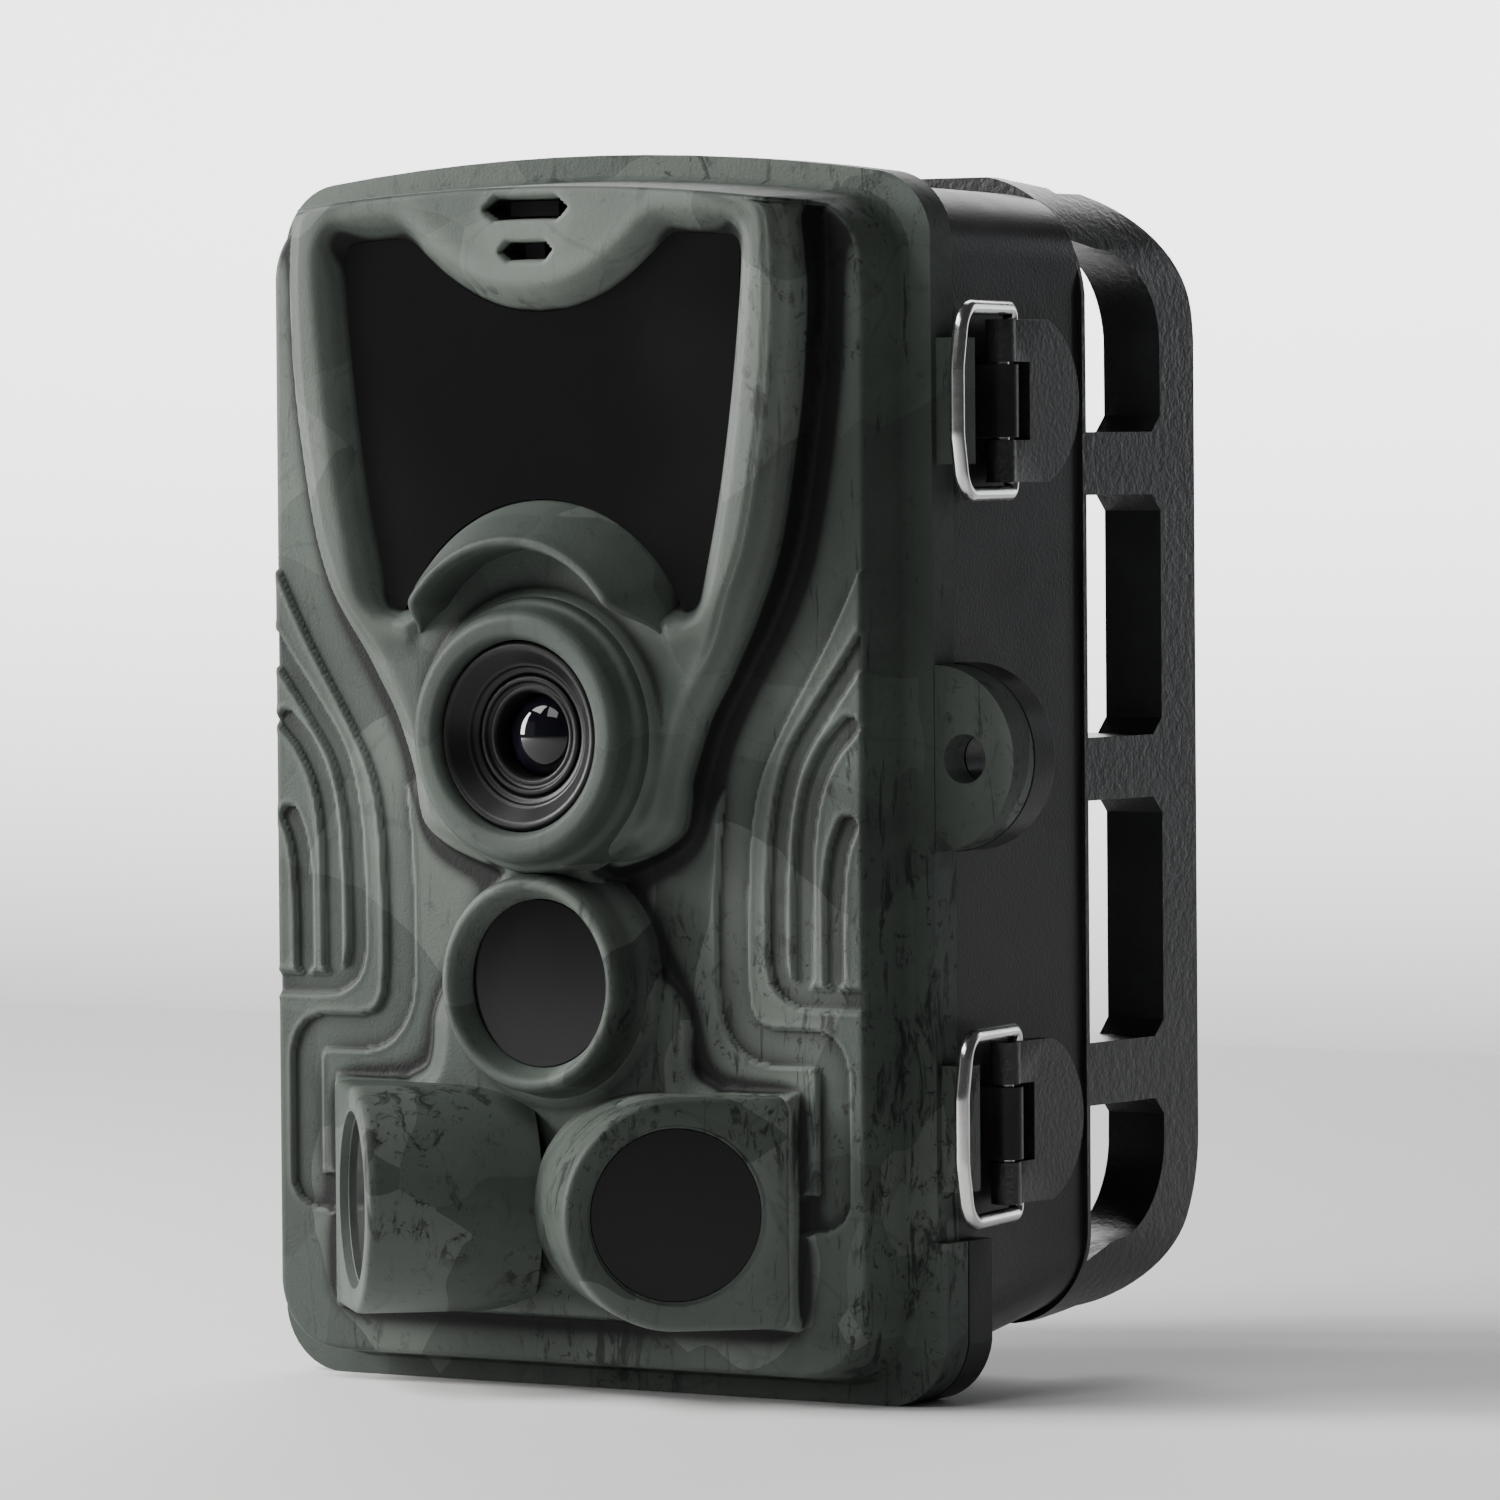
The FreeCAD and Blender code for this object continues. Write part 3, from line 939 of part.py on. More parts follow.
cut("card_slot", slot_blank, slot_mouth)
usb_blank = box("usb_blank", "8", "2.2", "6", ("14", "-board_back", "board_low_z"))
usb_mouth = box("usb_mouth", "7", "1.4", "5", ("14.5", "-board_back + 0.5", "board_low_z - 1"))
cut("usb_socket", usb_blank, usb_mouth)

# ---------------------------------------------------------------- check and export
doc.recompute()
NODES = [
    "front_cover", "rear_shell", "tripod_insert", "tree_bracket", "bracket_screws", "battery_tray", "aa_cells",
    "contact_springs", "contact_plates", "hinge_pins", "latch_pins", "dc_jack", "port_cover", "door_gasket",
    "ir_window", "ir_led_board", "ir_leds", "lens_barrel", "lens_retainer", "lens_glass", "sensor_board",
    "pir_window_center", "pir_window_left", "pir_window_right", "pir_sensors", "status_windows", "main_board",
    "inner_panel", "panel_screws", "lcd_module", "lcd_window", "speaker", "card_slot", "usb_socket",
    "key_switches", "mode_switch_housing", "mode_switch_knob", *BUTTONS, "upper_latch_lever",
    "lower_latch_lever", "upper_latch_bail", "lower_latch_bail",
]
failed = [item.Name for item in doc.Objects if "Invalid" in item.State or "Error" in item.State]
if failed:
    raise RuntimeError(f"these objects failed: {failed}")
for label in NODES:
    shape = doc.getObjectsByLabel(label)[0].Shape
    if shape.isNull() or not shape.isValid():
        raise RuntimeError(f"{label} has no valid shape")
    shape.exportStep(f"parts/{label}.step")
    print(label, len(shape.Solids), round(shape.Volume, 1))
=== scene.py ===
import math
import bmesh
import bpy
import numpy as np
from mathutils import Matrix, Vector


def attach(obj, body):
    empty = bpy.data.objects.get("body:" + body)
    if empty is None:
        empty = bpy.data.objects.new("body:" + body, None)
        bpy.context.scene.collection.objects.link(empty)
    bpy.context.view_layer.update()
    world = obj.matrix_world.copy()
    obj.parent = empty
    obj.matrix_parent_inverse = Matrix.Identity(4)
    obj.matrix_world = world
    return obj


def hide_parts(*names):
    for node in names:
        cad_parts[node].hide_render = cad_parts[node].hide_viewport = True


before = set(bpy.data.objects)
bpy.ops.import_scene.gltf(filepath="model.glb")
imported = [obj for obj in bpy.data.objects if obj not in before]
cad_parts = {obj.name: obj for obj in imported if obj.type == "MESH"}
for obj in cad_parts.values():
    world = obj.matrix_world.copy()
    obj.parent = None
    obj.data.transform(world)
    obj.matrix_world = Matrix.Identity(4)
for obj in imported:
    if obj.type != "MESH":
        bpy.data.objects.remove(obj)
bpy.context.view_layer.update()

# ------------------------------------------------------------ studio
# The camera stands at the case's right-hand side at about its own height, with a long
# lens. A strong soft light grazes the front from the left, two boxes hang above it, and
# weaker panels stand at the front left and behind, under a dim sky.
mm = 0.001


def at(*place):
    """A place in millimetres as a vector in metres."""
    return Vector(place) * mm


def aimed(item, place, target, roll=0.0):
    """Put a light or camera in place, turned towards a target."""
    item.location = place
    turn = (target - place).to_track_quat("-Z", "Y").to_matrix().to_4x4()
    item.rotation_euler = (turn @ Matrix.Rotation(math.radians(roll), 4, "Z")).to_euler()
    bpy.context.scene.collection.objects.link(item)
    return item


optics = bpy.data.cameras.new("viewpoint")
optics.lens = 215.95
optics.sensor_width = 36.0
optics.clip_end = 50.0
viewpoint = aimed(bpy.data.objects.new("viewpoint", optics), at(620.9, -901.4, 112.4),
                  at(30.2, -32.4, 77.6), -0.44)
bpy.context.scene.camera = viewpoint

SOFT_LIGHTS = {
    # name: place, width, height, power, colour
    "key_left": ((-760, -420, 300), 240, 480, 16.0, (1.0, 0.99, 0.97)),
    "top_left_box": ((-330, -370, 590), 300, 300, 3.6, (1.0, 1.0, 1.0)),
    "top_front_box": ((20, -520, 560), 260, 260, 1.1, (1.0, 1.0, 1.0)),
    "window_card": ((-860, -960, 130), 440, 700, 0.25, (1.0, 1.0, 1.0)),
    "edge_right": ((300, 1000, 150), 260, 700, 1.4, (0.94, 0.97, 1.0)),
}
for name, (place, width, height, power, colour) in SOFT_LIGHTS.items():
    panel = bpy.data.lights.new(name, "AREA")
    panel.shape = "RECTANGLE"
    panel.size = width * mm
    panel.size_y = height * mm
    panel.energy = power
    panel.color = colour
    aimed(bpy.data.objects.new(name, panel), at(*place), at(0, -10, 75))

world = bpy.data.worlds.new("studio_air")
world.use_nodes = True
world.node_tree.nodes["Background"].inputs["Color"].default_value = (1.0, 1.0, 1.0, 1.0)
world.node_tree.nodes["Background"].inputs["Strength"].default_value = 0.05
bpy.context.scene.world = world


# ------------------------------------------------------------ floor
# A plain pale sheet that the case stands on, and behind it a lit sweep that curves up to
# a plain background. Its glow fades in, so the sheet and the sweep join without a line.
def mesh_piece(name, bm, sharp=35.0):
    """A finished object from a bmesh in millimetres, smooth up to an edge angle."""
    bmesh.ops.scale(bm, vec=(mm, mm, mm), verts=bm.verts)
    data = bpy.data.meshes.new(name)
    bm.to_mesh(data)
    bm.free()
    made = bpy.data.objects.new(name, data)
    bpy.context.scene.collection.objects.link(made)
    data.shade_smooth()
    if sharp < 180:
        data.set_sharp_from_angle(angle=math.radians(sharp))
    return made


floor_mesh = bmesh.new()
bmesh.ops.create_grid(floor_mesh, x_segments=1, y_segments=1, size=6000)
floor = mesh_piece("floor", floor_mesh)
pale = bpy.data.materials.new("pale_floor")
pale.use_nodes = True
pale.node_tree.nodes["Principled BSDF"].inputs["Base Color"].default_value = (0.86, 0.86, 0.86, 1.0)
pale.node_tree.nodes["Principled BSDF"].inputs["Roughness"].default_value = 0.95
floor.data.materials.append(pale)
backdrop_mesh = bmesh.new()
SWEEP_START, SWEEP_RADIUS, SWEEP_SUNK, SWEEP_TOP = 500, 700, 2, 2200
SWEEP_LEFT, SWEEP_WIDTH = -1500, 1400
sweep_curve = [(SWEEP_START + SWEEP_RADIUS * math.sin(turn),
                SWEEP_RADIUS - SWEEP_SUNK - SWEEP_RADIUS * math.cos(turn))
               for turn in np.radians(np.linspace(2, 90, 24))] + [(SWEEP_START + SWEEP_RADIUS, SWEEP_TOP)]
sweep_side = [backdrop_mesh.verts.new((SWEEP_LEFT, y, z)) for y, z in sweep_curve]
sweep_edges = [backdrop_mesh.edges.new(pair) for pair in zip(sweep_side, sweep_side[1:])]
swept = bmesh.ops.extrude_edge_only(backdrop_mesh, edges=sweep_edges)["geom"]
bmesh.ops.translate(backdrop_mesh, vec=(SWEEP_WIDTH, 0, 0),
                    verts=[item for item in swept if isinstance(item, bmesh.types.BMVert)])
bmesh.ops.recalc_face_normals(backdrop_mesh, faces=backdrop_mesh.faces)
backdrop = mesh_piece("backdrop", backdrop_mesh, 180)
lit = bpy.data.materials.new("lit_backdrop")
lit.use_nodes = True
place_node = lit.node_tree.nodes.new("ShaderNodeTexCoord")
split = lit.node_tree.nodes.new("ShaderNodeSeparateXYZ")
glow = lit.node_tree.nodes.new("ShaderNodeMapRange")
glow.interpolation_type = "SMOOTHSTEP"
glow.inputs["From Min"].default_value = 0.5
glow.inputs["From Max"].default_value = 1.0
lit.node_tree.links.new(place_node.outputs["Object"], split.inputs[0])
lit.node_tree.links.new(split.outputs["Y"], glow.inputs["Value"])
lit_sockets = lit.node_tree.nodes["Principled BSDF"].inputs
lit.node_tree.links.new(glow.outputs["Result"], lit_sockets["Emission Color"])
lit_sockets["Base Color"].default_value = (0.86, 0.86, 0.86, 1.0)
lit_sockets["Roughness"].default_value = 0.95
lit_sockets["Emission Strength"].default_value = 3.0
backdrop.data.materials.append(lit)

# ------------------------------------------------------------ front cover
# One injection-moulded plastic shell with a bark print, hinged to the rear shell. A raised
# bezel round the window narrows past the lens and flares to the lower panel, and hooked
# channels run down both sides.
CASE_HALF = 47.2
CROWN_RADIUS = 300.0
PLATE, BEZEL, LENS_LAND, LOWER_LAND = 27.8, 34.6, 32.3, 29.7
FLANGE_FRONT = 19.1
LENS_Z, HOOD_Z, PIR_Z, EYE_Z, EYE_X = 79.0, 84.8, 49.5, 23.2, 23.8
EYE_RING, EYE_FRONT = 13.65, 38.7


def smooth_route(points, per_span=7):
    """A Catmull-Rom curve through given points."""
    points = np.array(points, float)
    ends = np.vstack([2 * points[0] - points[1], points, 2 * points[-1] - points[-2]])
    share = np.linspace(0, 1, per_span, endpoint=False)[:, None]
    spans = []
    for a, b, c, d in zip(ends, ends[1:], ends[2:], ends[3:]):
        spans.append(0.5 * (2 * b + (c - a) * share + (2 * a - 5 * b + 4 * c - d) * share ** 2
                            + (3 * b - a - 3 * c + d) * share ** 3))
    return np.vstack(spans + [points[-1:]])


def distance_to(route, x, z):
    """How far each place is from a route, in the front view."""
    nearest = np.full(x.shape, 1e9)
    for (ax, az), (bx, bz) in zip(route, route[1:]):
        run = (bx - ax) ** 2 + (bz - az) ** 2 + 1e-12
        share = np.clip(((x - ax) * (bx - ax) + (z - az) * (bz - az)) / run, 0, 1)
        nearest = np.minimum(nearest, np.hypot(x - ax - share * (bx - ax), z - az - share * (bz - az)))
    return nearest


def depth_inside(outline, x, z):
    """Distance to a closed outline, positive inside it."""
    closed = np.vstack([outline, outline[:1]])
    inside = np.zeros(x.shape, bool)
    for (ax, az), (bx, bz) in zip(closed, closed[1:]):
        if az != bz:
            crosses = (az > z) != (bz > z)
            inside ^= crosses & (x < ax + (z - az) * (bx - ax) / (bz - az))
    away = distance_to(closed, x, z)
    return np.where(inside, away, -away)


def ease(value, low, high):
    """0 below low, 1 above high, smooth between."""
    share = np.clip((value - low) / (high - low), 0, 1)
    return share * share * (3 - 2 * share)


def both_halves(half_outline):
    """A whole outline from its right half, listed from the centre line round."""
    return np.vstack([half_outline, half_outline[::-1] * (-1, 1)])


BEZEL_EDGE = smooth_route([
    (0, 149), (33, 146.5), (35.6, 142.6), (36.6, 138.5), (36.8, 132), (36.4, 123), (35.3, 114), (33, 102),
    (29.7, 93.7), (25.4, 86.3), (22.3, 81), (19.9, 74.6), (19.3, 71), (18.3, 68), (15.4, 65.7), (10.6, 63.7),
    (8, 62.6), (7.8, 60.4), (10.1, 56.3), (13.4, 51.7), (16.7, 47.9), (18.1, 44.8), (18.4, 41.3),
    (19.4, 38.4), (22.6, 36.6), (27, 34), (27, 12), (0, 12)])
HOOD_EDGE = 19.4
hood_start = math.degrees(math.asin((93.9 - HOOD_Z) / HOOD_EDGE))
hood_turns = np.radians(np.linspace(90, hood_start, 20))
GLASS_EDGE = np.vstack([
    np.column_stack([HOOD_EDGE * np.cos(hood_turns), HOOD_Z + HOOD_EDGE * np.sin(hood_turns)]),
    smooth_route([(20.9, 93.7), (22.3, 94.6), (23.3, 97.5), (25.5, 107.5), (27.3, 119), (28.5, 130),
                  (28.8, 135.6), (28.2, 137.5), (26.4, 138.0), (20.6, 138.3), (18.6, 137.8),
                  (16.4, 136), (13.2, 133.6), (9, 131.3), (4.6, 129.9), (0, 129.5)])])
CHANNEL = smooth_route([
    (50, 116), (43.6, 105.5), (41.2, 101), (36.2, 91.5), (29.6, 81), (26.3, 74.5), (24.9, 68), (24.4, 60),
    (24.4, 49.4), (25.0, 46), (26.8, 43.6), (29.6, 42.6), (35, 42.5), (37.4, 41.7), (38.4, 39.6), (38.5, 36),
    (38.5, 26), (38.2, 24.1), (36.9, 23.2), (34.9, 22.9)])
INNER_GROOVE = smooth_route([
    (46, 94), (41, 87), (37.2, 82), (33.4, 76.4), (31.6, 70.5), (30.9, 64), (30.7, 57), (30.7, 52.8),
    (31.4, 50.2), (33.4, 48.7), (36, 48.3), (46, 48.3)])
LONG_SLOT = smooth_route([
    (41.0, 80.2), (38.2, 77.2), (36.0, 73), (34.9, 68), (34.5, 62), (34.4, 55), (34.4, 50.8)])
SHORT_SLOT = smooth_route([(40.7, 68.6), (39.6, 66), (38.9, 62), (38.7, 57), (38.7, 50.8)])
GROOVES = ((CHANNEL, 4.1, 3.6), (INNER_GROOVE, 2.3, 2.3), (LONG_SLOT, 2.4, 3.2), (SHORT_SLOT, 2.4, 3.2))
TROUGH = np.vstack([smooth_route([(33, 150), (36.6, 140), (36.8, 132), (36.4, 123), (35.3, 114), (33, 102),
                                  (29.7, 93.7), (25.4, 86.3), (22.3, 81), (20.4, 75), (20, 70)]),
                    CHANNEL[:43][::-1], [(50, 150)]])
TAB_SLOTS = (
    np.array([(6.1, 141.4), (4.6, 142.7), (-4.6, 142.7), (-6.1, 141.4), (-4.5, 140.1), (4.5, 140.1)]),
    np.array([(3.8, 136.4), (2.8, 137.5), (-2.8, 137.5), (-3.8, 136.4), (-2.6, 135.3), (2.6, 135.3)]))


def relief(x, z):
    """How far forward the moulding's face stands at each place."""
    side = np.abs(x)
    inside_bezel = depth_inside(both_halves(BEZEL_EDGE[1:]), x, z)
    hood_reach = np.hypot(x, z - HOOD_Z)

    # Raised bezel: a steep wall, a bevel with a fine groove along it, then the flat land.
    upper = ease(z, 87.5, 97) * ease(hood_reach, 18.4, 20.4)
    land = LENS_LAND + (BEZEL - LENS_LAND) * upper
    land = LOWER_LAND + (land - LOWER_LAND) * ease(z, 57, 69)
    rise = 0.70 * ease(inside_bezel, -1.3, 0.5) + 0.30 * ease(inside_bezel, 0.3, 2.6)
    face = PLATE + (land - PLATE) * rise
    face = face - 0.34 * np.exp(-((inside_bezel - 2.5) / 0.26) ** 2) * ease(z, 84, 92)

    # Hooked channels, cut from the plate; the widest opens into a trough beside the bezel.
    cuts = np.zeros(x.shape)
    for route, width, depth in GROOVES:
        away = distance_to(route, side, z)
        cuts = np.maximum(cuts, depth * (1 - ease(away, width / 2 - 0.35, width / 2 + 0.25)))
        face = face + 0.14 * np.exp(-((away - width / 2 - 0.5) / 0.3) ** 2)
    to_bezel = np.clip(-inside_bezel, 0.01, 90)
    share = to_bezel / (to_bezel + distance_to(CHANNEL[:43], side, z))
    in_trough = ease(depth_inside(TROUGH, side, z), -0.6, 0.6) * ease(z, 69, 78)
    in_trough = in_trough * ease(inside_bezel, 0.2, -1.4)
    cuts = np.maximum(cuts, (0.5 + 2.1 * share ** 1.4) * in_trough)
    face = face - cuts

    # Collars at the feet of the lens ring and of the centre sensor ring.
    face = face + 1.0 * (1 - ease(np.hypot(x, z - LENS_Z), 16.3, 17.8)) * ease(z, 60, 66)
    face = face + 0.7 * (1 - ease(np.hypot(x, z - PIR_Z), 13.6, 15.4))

    # Lower panel that carries the angled sensors.
    panel = np.minimum(33.4 - side, np.minimum(z - 9.6, 36.8 - z))
    face = np.maximum(face, PLATE - 0.5 + 2.1 * ease(panel, -1.0, 0.5))

    # Window recess: sloped walls that run on below the pane.
    inside_glass = depth_inside(both_halves(GLASS_EDGE), x, z)
    wall = 31.45 - inside_glass * 1.16
    soft = 0.4
    sunk = -soft * np.log(np.exp(-face / soft) + np.exp(-np.clip(wall, 0, 60) / soft))
    face = np.where(inside_glass > -5.5, np.maximum(sunk, 30.1), face)
    for outline in TAB_SLOTS:
        face = face - 3.4 * ease(depth_inside(outline, x, z), -0.15, 0.4)
    return face


def rounded_place(u, v, half, low, top, corner):
    """Where grid place (u, v) falls in a round-cornered, arch-topped outline."""
    straight = half - corner
    arch_low = top - CROWN_RADIUS
    shoulder = arch_low + np.sqrt(CROWN_RADIUS ** 2 - straight ** 2)
    z = low + v * (shoulder - low)
    below = np.clip(low + corner - z, 0, corner)
    above = np.clip(z - (shoulder - corner), 0, corner)
    reach = straight + np.sqrt(corner ** 2 - np.maximum(below, above) ** 2)
    x = u * reach
    arch = arch_low + np.sqrt(CROWN_RADIUS ** 2 - np.clip(np.abs(x), 0, straight) ** 2) - shoulder
    return x, z + arch * v ** 6


def stack(bm, ring, moves):
    """Extrude an edge loop once for each move, which places the new vertices."""
    for move in moves:
        grown = bmesh.ops.extrude_edge_only(bm, edges=ring)["geom"]
        ring = [item for item in grown if isinstance(item, bmesh.types.BMEdge)]
        for vertex in [item for item in grown if isinstance(item, bmesh.types.BMVert)]:
            move(vertex)
    return ring


def face_out(bm, way=(0, -1, 0)):
    """Consistent normals that point along a way at the piece's furthest face."""
    bmesh.ops.recalc_face_normals(bm, faces=bm.faces)
    way = Vector(way)
    furthest = max(bm.faces, key=lambda face: face.calc_center_median().dot(way))
    if furthest.normal.dot(way) < 0:
        bmesh.ops.reverse_faces(bm, faces=bm.faces)


# The face: a fine grid fitted to the case's outline and pushed forward by the relief.
FACE_ACROSS, FACE_UP, BLUR_PASSES = 232, 376, 90
face_mesh = bmesh.new()
bmesh.ops.create_grid(face_mesh, x_segments=FACE_ACROSS, y_segments=FACE_UP, size=1.0)
across_layer = face_mesh.verts.layers.float.new("across")
up_layer = face_mesh.verts.layers.float.new("up")
grid = np.array([(vertex.co.x, (vertex.co.y + 1) / 2) for vertex in face_mesh.verts])
face_x, face_z = rounded_place(grid[:, 0], grid[:, 1], CASE_HALF - 4.9, 4.3, 143.5, 8.1)
fronts = relief(face_x, face_z)

# Each place's height against a blurred face, so that shade can be painted into the hollows
# and highlights painted onto the crests.
hollow_layer = face_mesh.verts.layers.float.new("hollow")
columns = np.rint((grid[:, 0] + 1) * FACE_ACROSS / 2).astype(int)
rows = np.rint(grid[:, 1] * FACE_UP).astype(int)
heights = np.zeros((FACE_UP + 1, FACE_ACROSS + 1))
heights[rows, columns] = fronts
blurred = heights
for _ in range(BLUR_PASSES):
    padded = np.pad(blurred, 1, mode="edge")
    blurred = (padded[:-2, 1:-1] + padded[2:, 1:-1] + padded[1:-1, :-2] + padded[1:-1, 2:] + 2 * blurred) / 6
hollows = (blurred - heights)[rows, columns]

# The lens barrel passes through: the face drops away inside the lens ring.
fronts -= (fronts - 24.0) * (1 - ease(np.hypot(face_x, face_z - LENS_Z), 11.9, 12.9))
for vertex, (across, up), x, z, front, hollow in zip(face_mesh.verts, grid, face_x, face_z, fronts, hollows):
    vertex[hollow_layer] = hollow
    vertex[across_layer] = across
    vertex[up_layer] = up
    vertex.co = (x, -front, z)


def wall_move(half, low, top, corner, back, front=None):
    """Place a wall vertex on an outline, a step back from the last or at a set front."""
    def move(vertex):
        x, z = rounded_place(vertex[across_layer], vertex[up_layer], half, low, top, corner)
        vertex.co = (x, vertex.co.y + back if front is None else -front, z)
        vertex[hollow_layer] = 0.0
    return move


stack(face_mesh, [edge for edge in face_mesh.edges if edge.is_boundary], [
    wall_move(CASE_HALF - 4.62, 4.02, 143.75, 8.35, 0.10),
    wall_move(CASE_HALF - 4.42, 3.82, 143.95, 8.5, 0.24),
    wall_move(CASE_HALF - 4.35, 3.70, 144.05, 8.5, 0.41),
    wall_move(CASE_HALF - 3.55, 2.85, 144.85, 8.6, 0, FLANGE_FRONT + 1.5),
    wall_move(CASE_HALF - 3.35, 2.65, 145.05, 8.7, 0, FLANGE_FRONT + 0.6),
    wall_move(CASE_HALF - 2.95, 2.30, 145.45, 8.7, 0, FLANGE_FRONT + 0.08),
    wall_move(CASE_HALF - 2.5, 1.9, 145.9, 8.6, 0, FLANGE_FRONT - 0.5)])
face_out(face_mesh)
cover_face = mesh_piece("cover_face", face_mesh, 180)
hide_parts("front_cover")


def reworked(node, name, width, flat=4.0, sharp=30.0, behind=None, segments=2):
    """A copy of a CAD node's mesh with its flats merged and its edges softly rounded."""
    bm = bmesh.new()
    bm.from_mesh(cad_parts[node].data)
    bmesh.ops.scale(bm, vec=(1 / mm, 1 / mm, 1 / mm), verts=bm.verts)
    bmesh.ops.remove_doubles(bm, verts=bm.verts, dist=0.002)
    if behind is not None:
        bmesh.ops.bisect_plane(bm, geom=bm.verts[:] + bm.edges[:] + bm.faces[:], dist=0.001,
                               plane_co=(0, -behind, 0), plane_no=(0, -1, 0), clear_outer=True)
    bmesh.ops.dissolve_limit(bm, angle_limit=math.radians(flat), verts=bm.verts, edges=bm.edges)
    made = mesh_piece(name, bm, sharp)
    if width:
        rounding = made.modifiers.new("soft_edges", "BEVEL")
        rounding.width = width * mm
        rounding.segments = segments
        rounding.limit_method = "ANGLE"
        rounding.angle_limit = math.radians(sharp)
        rounding.harden_normals = True
    return made


cover_flange = reworked("front_cover", "cover_flange", 0.35, behind=FLANGE_FRONT + 0.02)


def rounded_profile(points, radius=0.5, count=4):
    """A profile with each inner corner replaced by a short curved run."""
    made = [points[0]]
    for before, corner, after in zip(points, points[1:], points[2:]):
        before, corner, after = (np.array(item, float) for item in (before, corner, after))
        back, on = before - corner, after - corner
        reach = min(radius, np.linalg.norm(back) * 0.45, np.linalg.norm(on) * 0.45)
        first = corner + back / np.linalg.norm(back) * reach
        last = corner + on / np.linalg.norm(on) * reach
        for share in np.linspace(0, 1, count):
            made.append(tuple((1 - share) ** 2 * first + 2 * share * (1 - share) * corner
                              + share ** 2 * last))
    return made + [points[-1]]


def spun(name, profile, centre, turn=0.0, steps=96, sharp=50.0):
    """A turned piece: profile places are (radius, forward), spun about a forward axis."""
    bm = bmesh.new()
    line = [bm.verts.new((radius, -forward, 0)) for radius, forward in profile]
    edges = [bm.edges.new(pair) for pair in zip(line, line[1:])]
    bmesh.ops.spin(bm, geom=line + edges, cent=(0, 0, 0), axis=(0, -1, 0), angle=math.tau, steps=steps,
                   use_merge=True, use_duplicate=False)
    bmesh.ops.remove_doubles(bm, verts=bm.verts, dist=0.0005)
    face_out(bm)
    bmesh.ops.rotate(bm, matrix=Matrix.Rotation(math.radians(turn), 3, "Z"), cent=(0, 0, 0), verts=bm.verts)
    bmesh.ops.translate(bm, vec=centre, verts=bm.verts)
    return mesh_piece(name, bm, sharp)


# Rings round the lens and the centre sensor.
lens_ring = spun("cover_lens_ring", rounded_profile([
    (11.42, 24.0), (11.42, 37.2), (12.0, 38.0), (14.0, 38.15), (14.85, 37.4), (15.35, 34.9), (16.2, 34.5),
    (16.6, 32.6), (17.4, 30.5)], 0.6), (0, 0, LENS_Z))
pir_ring = spun("cover_sensor_ring", rounded_profile([
    (9.9, 31.2), (10.05, 32.7), (11.1, 35.0), (11.7, 35.5), (12.5, 35.35), (12.95, 34.5), (13.3, 31.2),
    (14.4, 29.6), (14.8, 28.0)], 0.6), (0, 0, PIR_Z))

# The brow over the lens: its lip fades into the bezel at both ends.
hood_mesh = bmesh.new()
HOOD_SPAN = 146.0
hood_section = rounded_profile([
    (16.3, 30.6), (16.45, 37.9), (16.9, 39.0), (17.75, 39.0), (18.5, 37.6), (20.3, 34.7), (22.15, 31.2),
    (22.5, 29.6), (16.3, 29.6)], 0.8)
section = [hood_mesh.verts.new((radius, -forward, 0)) for radius, forward in hood_section]
section_edges = [hood_mesh.edges.new(pair) for pair in zip(section, section[1:] + section[:1])]
hood_turn = Matrix.Rotation(math.radians((HOOD_SPAN - 180) / 2), 3, "Y")
bmesh.ops.rotate(hood_mesh, matrix=hood_turn, cent=(0, 0, 0), verts=section)
bmesh.ops.spin(hood_mesh, geom=section + section_edges, cent=(0, 0, 0), axis=(0, -1, 0),
               angle=math.radians(HOOD_SPAN), steps=72, use_merge=False, use_duplicate=False)
for vertex in hood_mesh.verts:
    around = abs(math.degrees(math.atan2(vertex.co.x, vertex.co.z)))
    fade = float(ease(np.array(around), HOOD_SPAN / 2 - 20, HOOD_SPAN / 2))
    forward = -vertex.co.y
    if forward > 31:
        vertex.co.y = -(forward - (forward - 31.4) * fade * 0.92)
    thin = 1 + (19.2 / math.hypot(vertex.co.x, vertex.co.z) - 1) * fade * 0.75
    vertex.co.x *= thin
    vertex.co.z *= thin
bmesh.ops.holes_fill(hood_mesh, edges=hood_mesh.edges)
face_out(hood_mesh)
bmesh.ops.translate(hood_mesh, vec=(0, 0, HOOD_Z), verts=hood_mesh.verts)
cover_pieces = [cover_face, cover_flange, lens_ring, pir_ring, mesh_piece("cover_hood", hood_mesh, 50)]


# Angled sensor bosses: round towards the middle and square towards the side.
def boss_reach(turn, radius, corner):
    """Reach of a half circle joined to a half square with round corners."""
    across, up = math.cos(turn), abs(math.sin(turn))
    if across <= 0:
        return radius
    inner = radius - corner
    reach = radius / max(across, up)
    if min(across, up) * reach > inner:
        along = (across + up) * inner
        return along + math.sqrt(along ** 2 - 2 * inner ** 2 + corner ** 2)
    return reach


